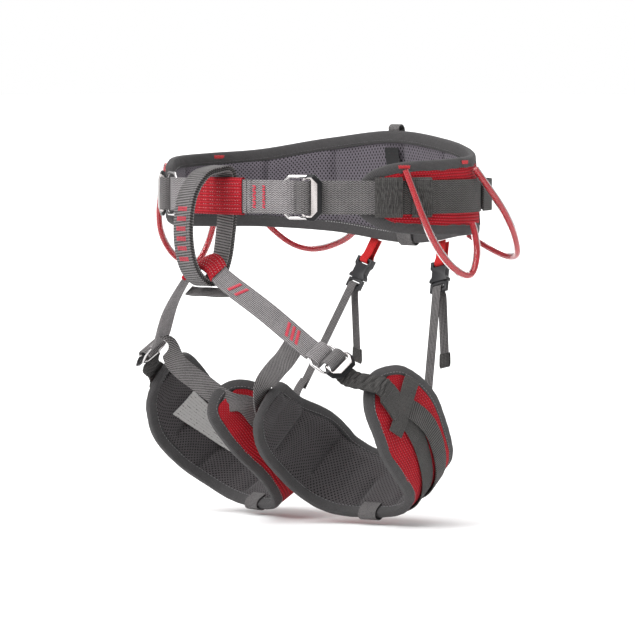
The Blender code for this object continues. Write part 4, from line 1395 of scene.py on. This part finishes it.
class HARNESS_OT_leg_webbing(HarnessOperator):
    """Webbing on the leg pads, the adjusting sleeves and the crotch straps"""
    bl_idname = "harness.leg_webbing"
    bl_label = "Leg webbing"

    def build(self, own):
        for name, side in SIDES:
            points, wides = leg_route(CROSS_ROUTE, 40, 0.0050, side)
            obj = ribbon("leg_cross_strap_" + name, points, wides, 0.0180, 0.0016, 80)
            dress(obj, strap("plain", "dark"), "leg_loops", ("leg_cross_webbing_" + name,), "grey_webbing")
            points, wides = leg_route(WRAP_ROUTE, 80, 0.0034, side)
            obj = ribbon("leg_wrap_strap_" + name, points, wides, 0.0230, 0.0016, 240)
            dress(obj, strap("ribs_across", "dark"), "leg_loops", ("leg_wrap_webbing_" + name,), "grey_webbing")
            points, wides = leg_route(UNDER_ROUTE, 60, 0.0019, side)
            obj = ribbon("leg_under_strap_" + name, points, wides, 0.0240, 0.0012, 160)
            dress(obj, strap("plain", "dark"), "leg_loops", (), "grey_webbing")
            self.adjuster(name, side)
            self.crotch(name, side)

    def crotch(self, name, side):
        """Loose strap from the leg strap down to the pad's inner end, twisted as it hangs on each side."""
        flat, facing = mirrored(LEG_N, side), Vector((0.7, -0.7, 0.06))
        if side > 0:
            points = [Vector((0.0975, -0.1405, -0.1590)), Vector((0.0800, -0.1370, -0.1745)),
                      Vector((0.0644, -0.1340, -0.1850)), Vector((0.0460, -0.1290, -0.1980)),
                      leg(-136, 0.010, 0.0060), leg(-124, 0.012, 0.0044), leg(-110, 0.010, 0.0034)]
            shares = (0.9, 1.0, 1.0, 0.9, 0.35, 0.0, 0.0)
        else:
            points = [mirrored(CROTCH_START, side), Vector((-0.0918, -0.1421, -0.1733)),
                      Vector((-0.0815, -0.1400, -0.1880)), Vector((-0.0562, -0.1290, -0.2075)),
                      Vector((-0.0300, -0.1160, -0.2260)), leg(-118, -0.002, 0.0046, side),
                      leg(-106, -0.004, 0.0036, side), leg(-94, -0.008, 0.0034, side)]
            shares = (0.0, 0.3, 0.85, 1.0, 0.8, 0.2, 0.0, 0.0)
        wides = []
        for index, share in enumerate(shares):
            face_on = heading(points, index).cross(facing).normalized()
            turned = flat if flat.dot(face_on) > 0 else -flat
            if side > 0 and index == 0:
                turned = CROTCH_WIDE
            elif side < 0 and index == 0:
                turned = Vector((0.30, 0.62, -0.40))
            wides.append((turned * (1 - share) + face_on * share).normalized())
        obj = ribbon("crotch_webbing_" + name, points, wides, 0.0230, 0.0018, 160)
        dress(obj, strap("twill", "mid"), "leg_loops", ("crotch_strap_" + name,), "grey_webbing")

    def adjuster(self, name, side):
        origin, along, wide, out = buckle_place("leg", side)
        tail = [origin + along * 0.0160 + out * 0.0010, origin + along * 0.0300 - out * 0.0010,
                leg(136, -0.009, 0.0068, side), leg(129, -0.0085, 0.0056, side), leg(122, -0.0085, 0.0044, side),
                leg(115.0, -0.0085, 0.0032, side)]
        turns = [wide] * 2 + [mirrored(LEG_N, side)] * 4

        def crumple(u, v):
            if u > 0.56:
                return 0.0
            fade = step(0.0, 0.05, u) * (1 - step(0.48, 0.56, u)) * math.sin(math.pi * v) ** 0.4
            return fade * (0.0011 * math.sin(u * 110 + 2.0 * math.sin(v * 5)) + 0.0005 * math.sin(u * 171 + v * 6))

        def patch(u):
            return 0.95 + 0.17 * step(0.50, 0.58, u)

        obj = ribbon("leg_adjust_cover_" + name, tail, turns, 0.0262, 0.0022, 240, 14, taper=patch, ripple=crumple)
        dress(obj, strap("plain", "dark"), "leg_loops", ("leg_adjust_sleeve_" + name,), "grey_fabric", 60.0)
        line, facing = smooth_line(tail, 60), [t.normalized() for t in smooth_line(turns, 60)]
        rows = []
        for share in (0.60, 0.96):
            index = round(share * 60)
            up = heading(line, index).cross(facing[index]).normalized()
            if up.dot(out) < 0:
                up = -up
            edge = [line[index] + facing[index] * 0.0128 * (1 - 2 * i / 12) + up * 0.0014 for i in range(13)]
            rows += stitch_rows(edge, [up] * 12, 0.0026, 0.0018, 0.0003)
        beads("leg_adjust_stitches_" + name, rows, "grey", "leg_loops")


class HARNESS_OT_leg_trim(HarnessOperator):
    """Care label and lower tabs of the leg pads"""
    bl_idname = "harness.leg_trim"
    bl_label = "Leg trim"

    def build(self, own):
        deep = -LEG_DEEP - own.leg_plump - 0.0016

        def label(u, v):
            fall = 1.0 - u
            low, high = -0.036 - 0.024 * fall, 0.004 - 0.038 * fall
            return leg(110 - 66 * fall, low + (high - low) * v, deep - 0.0008 * math.sin(math.pi * v), -1.0)

        obj = grid("washing_label", label, 60, 20)
        thicken(obj, 0.0005, 0.0, False)
        dress(obj, label_material("white_label", (0.50, 0.49, 0.48), (0.16, 0.15, 0.15), 260.0), "leg_loops",
              ("care_label",), "white_label")
        for name, side in SIDES:
            degrees = 1.0
            knee = between(LEG_RIM, degrees)[0]
            points = [leg(degrees, knee - 0.010, 0.0022, side), leg(degrees, knee + 0.0030, 0.0020, side),
                      leg(degrees, knee + 0.0085, -0.0045, side), leg(degrees, knee + 0.0030, -0.0105, side),
                      leg(degrees, knee - 0.010, -0.0112, side)]
            ahead = leg(degrees + 2, knee, 0, side) - leg(degrees - 2, knee, 0, side)
            obj = ribbon("leg_lower_tab_" + name, points, [ahead] * 5, 0.0230, 0.0013, 60)
            dress(obj, strap("plain", "mid"), "leg_loops", (), "grey_fabric")


class HARNESS_OT_gear_loops(HarnessOperator):
    """Clear tube and braided core of each gear loop"""
    bl_idname = "harness.gear_loops"
    bl_label = "Gear loops"

    def build(self, own):
        for place, stations in GEAR.items():
            for name, side in SIDES:
                line = smooth_line([mirrored(p, side) for p in stations], 140)
                frames, last = [], Vector((1.0, 0.0, 0.0))
                for index in range(len(line)):
                    ahead = heading(line, index)
                    first = (last - ahead * last.dot(ahead)).normalized()
                    frames.append((first, ahead.cross(first)))
                    last = first
                body = f"gear_loop_{place}_{name}"
                tube = cord_piece("clear_tube_" + place + "_" + name, line, frames, 0.0042, 24)
                thicken(tube, 0.0009, -1.0, False)
                dress(tube, clear_tube_material("clear_tube"), body, (f"gear_tube_{place}_{name}",), "clear_tube",
                      60.0)
                core = cord_piece("braid_" + place + "_" + name, line, frames, 0.0031, 16)
                with editing(core, "DESELECT"):
                    bpy.ops.mesh.select_non_manifold()
                    bpy.ops.mesh.fill()
                dress(core, braid_material("braided_core", tuple(c * 1.7 for c in own.red), (0.80, 0.42, 0.42)), body,
                      (f"gear_core_{place}_{name}",), "braided_core", 60.0)


def riser_frame(side):
    top, end = mirrored(RISER_TOP, side), mirrored(RISER_END, side)
    down = (end - top).normalized()
    wide = Vector((1, 0, 0)) * side
    wide = (wide - down * wide.dot(down)).normalized()
    back = down.cross(wide).normalized()
    return top, down, wide, -back if back.y < 0 else back


class HARNESS_OT_risers(HarnessOperator):
    """Rear elastic risers with their side-release buckles"""
    bl_idname = "harness.risers"
    bl_label = "Risers"

    def build(self, own):
        plastic = plastic_material("dark_buckle_plastic", (0.015, 0.015, 0.017))
        for name, side in SIDES:
            top, down, wide, back = riser_frame(side)
            body = "riser_" + name

            def at(distance, proud=0.0):
                return top + down * distance + back * proud

            tab = [at(-0.0135, 0.0030), at(0.0050, 0.0028), at(0.0105, 0.0042), at(0.0152, 0.0038), at(0.0164, 0.0),
                   at(0.0152, -0.0038), at(0.0105, -0.0042), at(0.0050, -0.0028), at(-0.0135, -0.0030)]
            obj = ribbon("riser_red_elastic_" + name, tab, [wide] * 9, 0.0124, 0.0012, 120)
            dress(obj, webbing_material("red_elastic", (0.50, 0.008, 0.010), "ribs_along", 0.35), body,
                  ("riser_tab_" + name,), "red_fabric")
            for half in ("socket", "plug"):
                self.moulded(f"riser_{half}_{name}", f"buckle_{half}_{name}", plastic, body)
            hang = at(0.0540, 0.0070)
            drop = Vector((0, 0.002, -0.034))
            line = [at(0.1740, -0.0036), at(0.1200, -0.0036), at(0.0700, -0.0036), at(0.0480, -0.0036),
                    at(0.0425, -0.0028), at(0.0413, 0.0), at(0.0425, 0.0028), at(0.0480, 0.0042),
                    hang, hang + drop, hang + drop * 2.2]
            obj = ribbon("riser_elastic_" + name, line, [wide] * 11, 0.0120, 0.0013, 220)
            dress(obj, strap("ribs_along", "mid"), body, ("riser_strap_" + name,), "grey_webbing")
            tip = hang + drop * 2.12
            fold = [tip + Vector((0, -0.0012, 0.012)), tip + Vector((0, -0.0016, 0.0)), tip + Vector((0, 0, -0.0036)),
                    tip + Vector((0, 0.0016, 0.0)), tip + Vector((0, 0.0012, 0.012))]
            obj = ribbon("riser_tail_fold_" + name, fold, [wide] * 5, 0.0126, 0.0011, 40)
            dress(obj, strap("ribs_along", "dark"), body, (), "grey_webbing")
            self.lower_end(name, side, [at(0.1860, -0.0062), at(0.1640, -0.0060)], wide)

    def lower_end(self, name, side, above, wide):
        """Lower end of the elastic, sewn round the rear rim of the leg pad, which it moves with."""
        degrees = 12.0
        hip = between(LEG_RIM, degrees)[1]
        around = (leg(degrees + 2, hip, 0.0, side) - leg(degrees - 2, hip, 0.0, side)).normalized()
        line = [leg(degrees, hip + 0.0100, 0.0022, side), leg(degrees, hip - 0.0030, 0.0020, side),
                leg(degrees, hip - 0.0085, -0.0045, side)]
        middle = line[-1].lerp(above[0], 0.5)
        obj = ribbon("riser_lower_end_" + name, line + [middle] + above, [around] * 3 + [wide] * 3, 0.0120, 0.0013,
                     160)
        dress(obj, strap("ribs_along", "mid"), "leg_loops", (), "grey_webbing")
        centre = leg(degrees, hip + 0.0060, 0.0030, side)
        ahead = (line[0] - line[1]).normalized()
        out = ahead.cross(around).normalized()
        if out.dot(centre - mirrored(LEG_CENTRE, side)) < 0:
            out = -out
        beads("riser_lower_tack_" + name, tack_rows(centre, around, ahead, out, 0.0100, 0.0030), "grey", "leg_loops")

    def moulded(self, node, name, plastic, body):
        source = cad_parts[node]
        mesh = source.data.copy()
        obj = bpy.data.objects.new(name, mesh)
        bpy.context.collection.objects.link(obj)
        obj.matrix_world = source.matrix_world.copy()
        only(obj)
        bpy.ops.object.transform_apply(location=True, rotation=True, scale=True)
        with editing(obj):
            bpy.ops.mesh.remove_doubles(threshold=MERGE)
            bpy.ops.mesh.dissolve_limited(angle_limit=math.radians(2))
        apply_modifier(obj, "BEVEL", width=0.00055, segments=2, limit_method="ANGLE", angle_limit=math.radians(30))
        dress(obj, plastic, body, (node,), "black_plastic", 40.0)


FLOOR_HEIGHT = -0.360
LIGHTS = (("overhead_light", 20.0, 78.0, 60.0, 1.9), ("key_light", -10.0, 38.0, 35.0, 1.9),
          ("rim_light", -150.0, 35.0, 40.0, 0.9))
CAMERA_TURN, CAMERA_RISE, CAMERA_AWAY = math.radians(45.0), math.radians(3.0), 6.0
CAMERA_AIM = Vector((0.0016, -0.0086, -0.1370))
PICTURE_WIDTH = 0.6986
SENSOR = 36.0


def from_front(turn, rise):
    """Direction of a place that stands round from the front by one angle and up by another."""
    return Vector((math.sin(turn) * math.cos(rise), -math.cos(turn) * math.cos(rise), math.sin(rise)))


class HARNESS_OT_stage(HarnessOperator):
    """Floor, soft studio light and camera"""
    bl_idname = "harness.stage"
    bl_label = "Stage"

    def build(self, own):
        bpy.ops.object.select_all(action="DESELECT")
        bpy.ops.mesh.primitive_plane_add(size=60.0, location=(0, 0, FLOOR_HEIGHT))
        floor = bpy.context.active_object
        floor.name = "studio_floor"
        only(floor)
        bpy.ops.object.transform_apply(location=True)
        paint = Recipe("pale_floor", 1.0)
        paint.colour(paint.blend(paint.noise(0.5), (0.93, 0.93, 0.93), (0.95, 0.95, 0.95)))
        paint.shader.inputs["Specular IOR Level"].default_value = 0.0
        floor.data.materials.append(paint.made)
        self.soft_sky()
        for name, turn, rise, spread, power in LIGHTS:
            bpy.ops.object.light_add(type="SUN", location=(0, 0, 2))
            light = bpy.context.active_object
            light.name = name
            light.data.energy = power
            light.data.angle = math.radians(spread)
            towards = from_front(math.radians(turn), math.radians(rise))
            light.rotation_euler = towards.to_track_quat("Z", "Y").to_euler()
        bpy.context.scene.view_settings.view_transform = "Standard"
        spot = CAMERA_AIM + CAMERA_AWAY * from_front(CAMERA_TURN, CAMERA_RISE)
        bpy.ops.object.camera_add(location=spot)
        camera = bpy.context.active_object
        camera.rotation_euler = (CAMERA_AIM - spot).to_track_quat("-Z", "Y").to_euler()
        camera.data.sensor_width = SENSOR
        camera.data.lens = SENSOR * CAMERA_AWAY / PICTURE_WIDTH
        camera.data.clip_end = 100.0
        bpy.context.scene.camera = camera

    @staticmethod
    def soft_sky():
        """White surroundings that light the harness less strongly than they look."""
        world = bpy.data.worlds.new("soft_studio")
        world.use_nodes = True
        tree = world.node_tree
        sky = tree.nodes["Background"]
        sky.inputs[0].default_value = (1, 1, 1, 1)
        seen = tree.nodes.new("ShaderNodeLightPath")
        level = tree.nodes.new("ShaderNodeMapRange")
        level.inputs[3].default_value = 0.55
        level.inputs[4].default_value = 1.0
        tree.links.new(seen.outputs["Is Camera Ray"], level.inputs[0])
        tree.links.new(level.outputs[0], sky.inputs[1])
        bpy.context.scene.world = world


OPERATORS = (
    HARNESS_OT_stage, HARNESS_OT_belt_lining, HARNESS_OT_belt_cover, HARNESS_OT_belt_binding,
    HARNESS_OT_waist_webbing, HARNESS_OT_belt_trim, HARNESS_OT_buckles, HARNESS_OT_belay_loop,
    HARNESS_OT_leg_strap, HARNESS_OT_leg_pads, HARNESS_OT_leg_webbing, HARNESS_OT_leg_trim,
    HARNESS_OT_gear_loops, HARNESS_OT_risers,
)


class HARNESS_PT_panel(bpy.types.Panel):
    """Sidebar list of the harness's pieces"""
    bl_idname = "HARNESS_PT_panel"
    bl_label = "Climbing harness"
    bl_space_type = "VIEW_3D"
    bl_region_type = "UI"
    bl_category = "Harness"

    def draw(self, context):
        for field in HarnessSettings.__annotations__:
            self.layout.prop(context.scene.harness, field)
        for kind in OPERATORS:
            self.layout.operator(kind.bl_idname)


def register():
    bpy.utils.register_class(HarnessSettings)
    for kind in OPERATORS:
        bpy.utils.register_class(kind)
    bpy.utils.register_class(HARNESS_PT_panel)
    bpy.types.Scene.harness = PointerProperty(type=HarnessSettings)


def unregister():
    del bpy.types.Scene.harness
    bpy.utils.unregister_class(HARNESS_PT_panel)
    for kind in reversed(OPERATORS):
        bpy.utils.unregister_class(kind)
    bpy.utils.unregister_class(HarnessSettings)


def main():
    register()
    for kind in OPERATORS:
        group, name = kind.bl_idname.split(".")
        getattr(getattr(bpy.ops, group), name)()


if __name__ == "__main__":
    main()
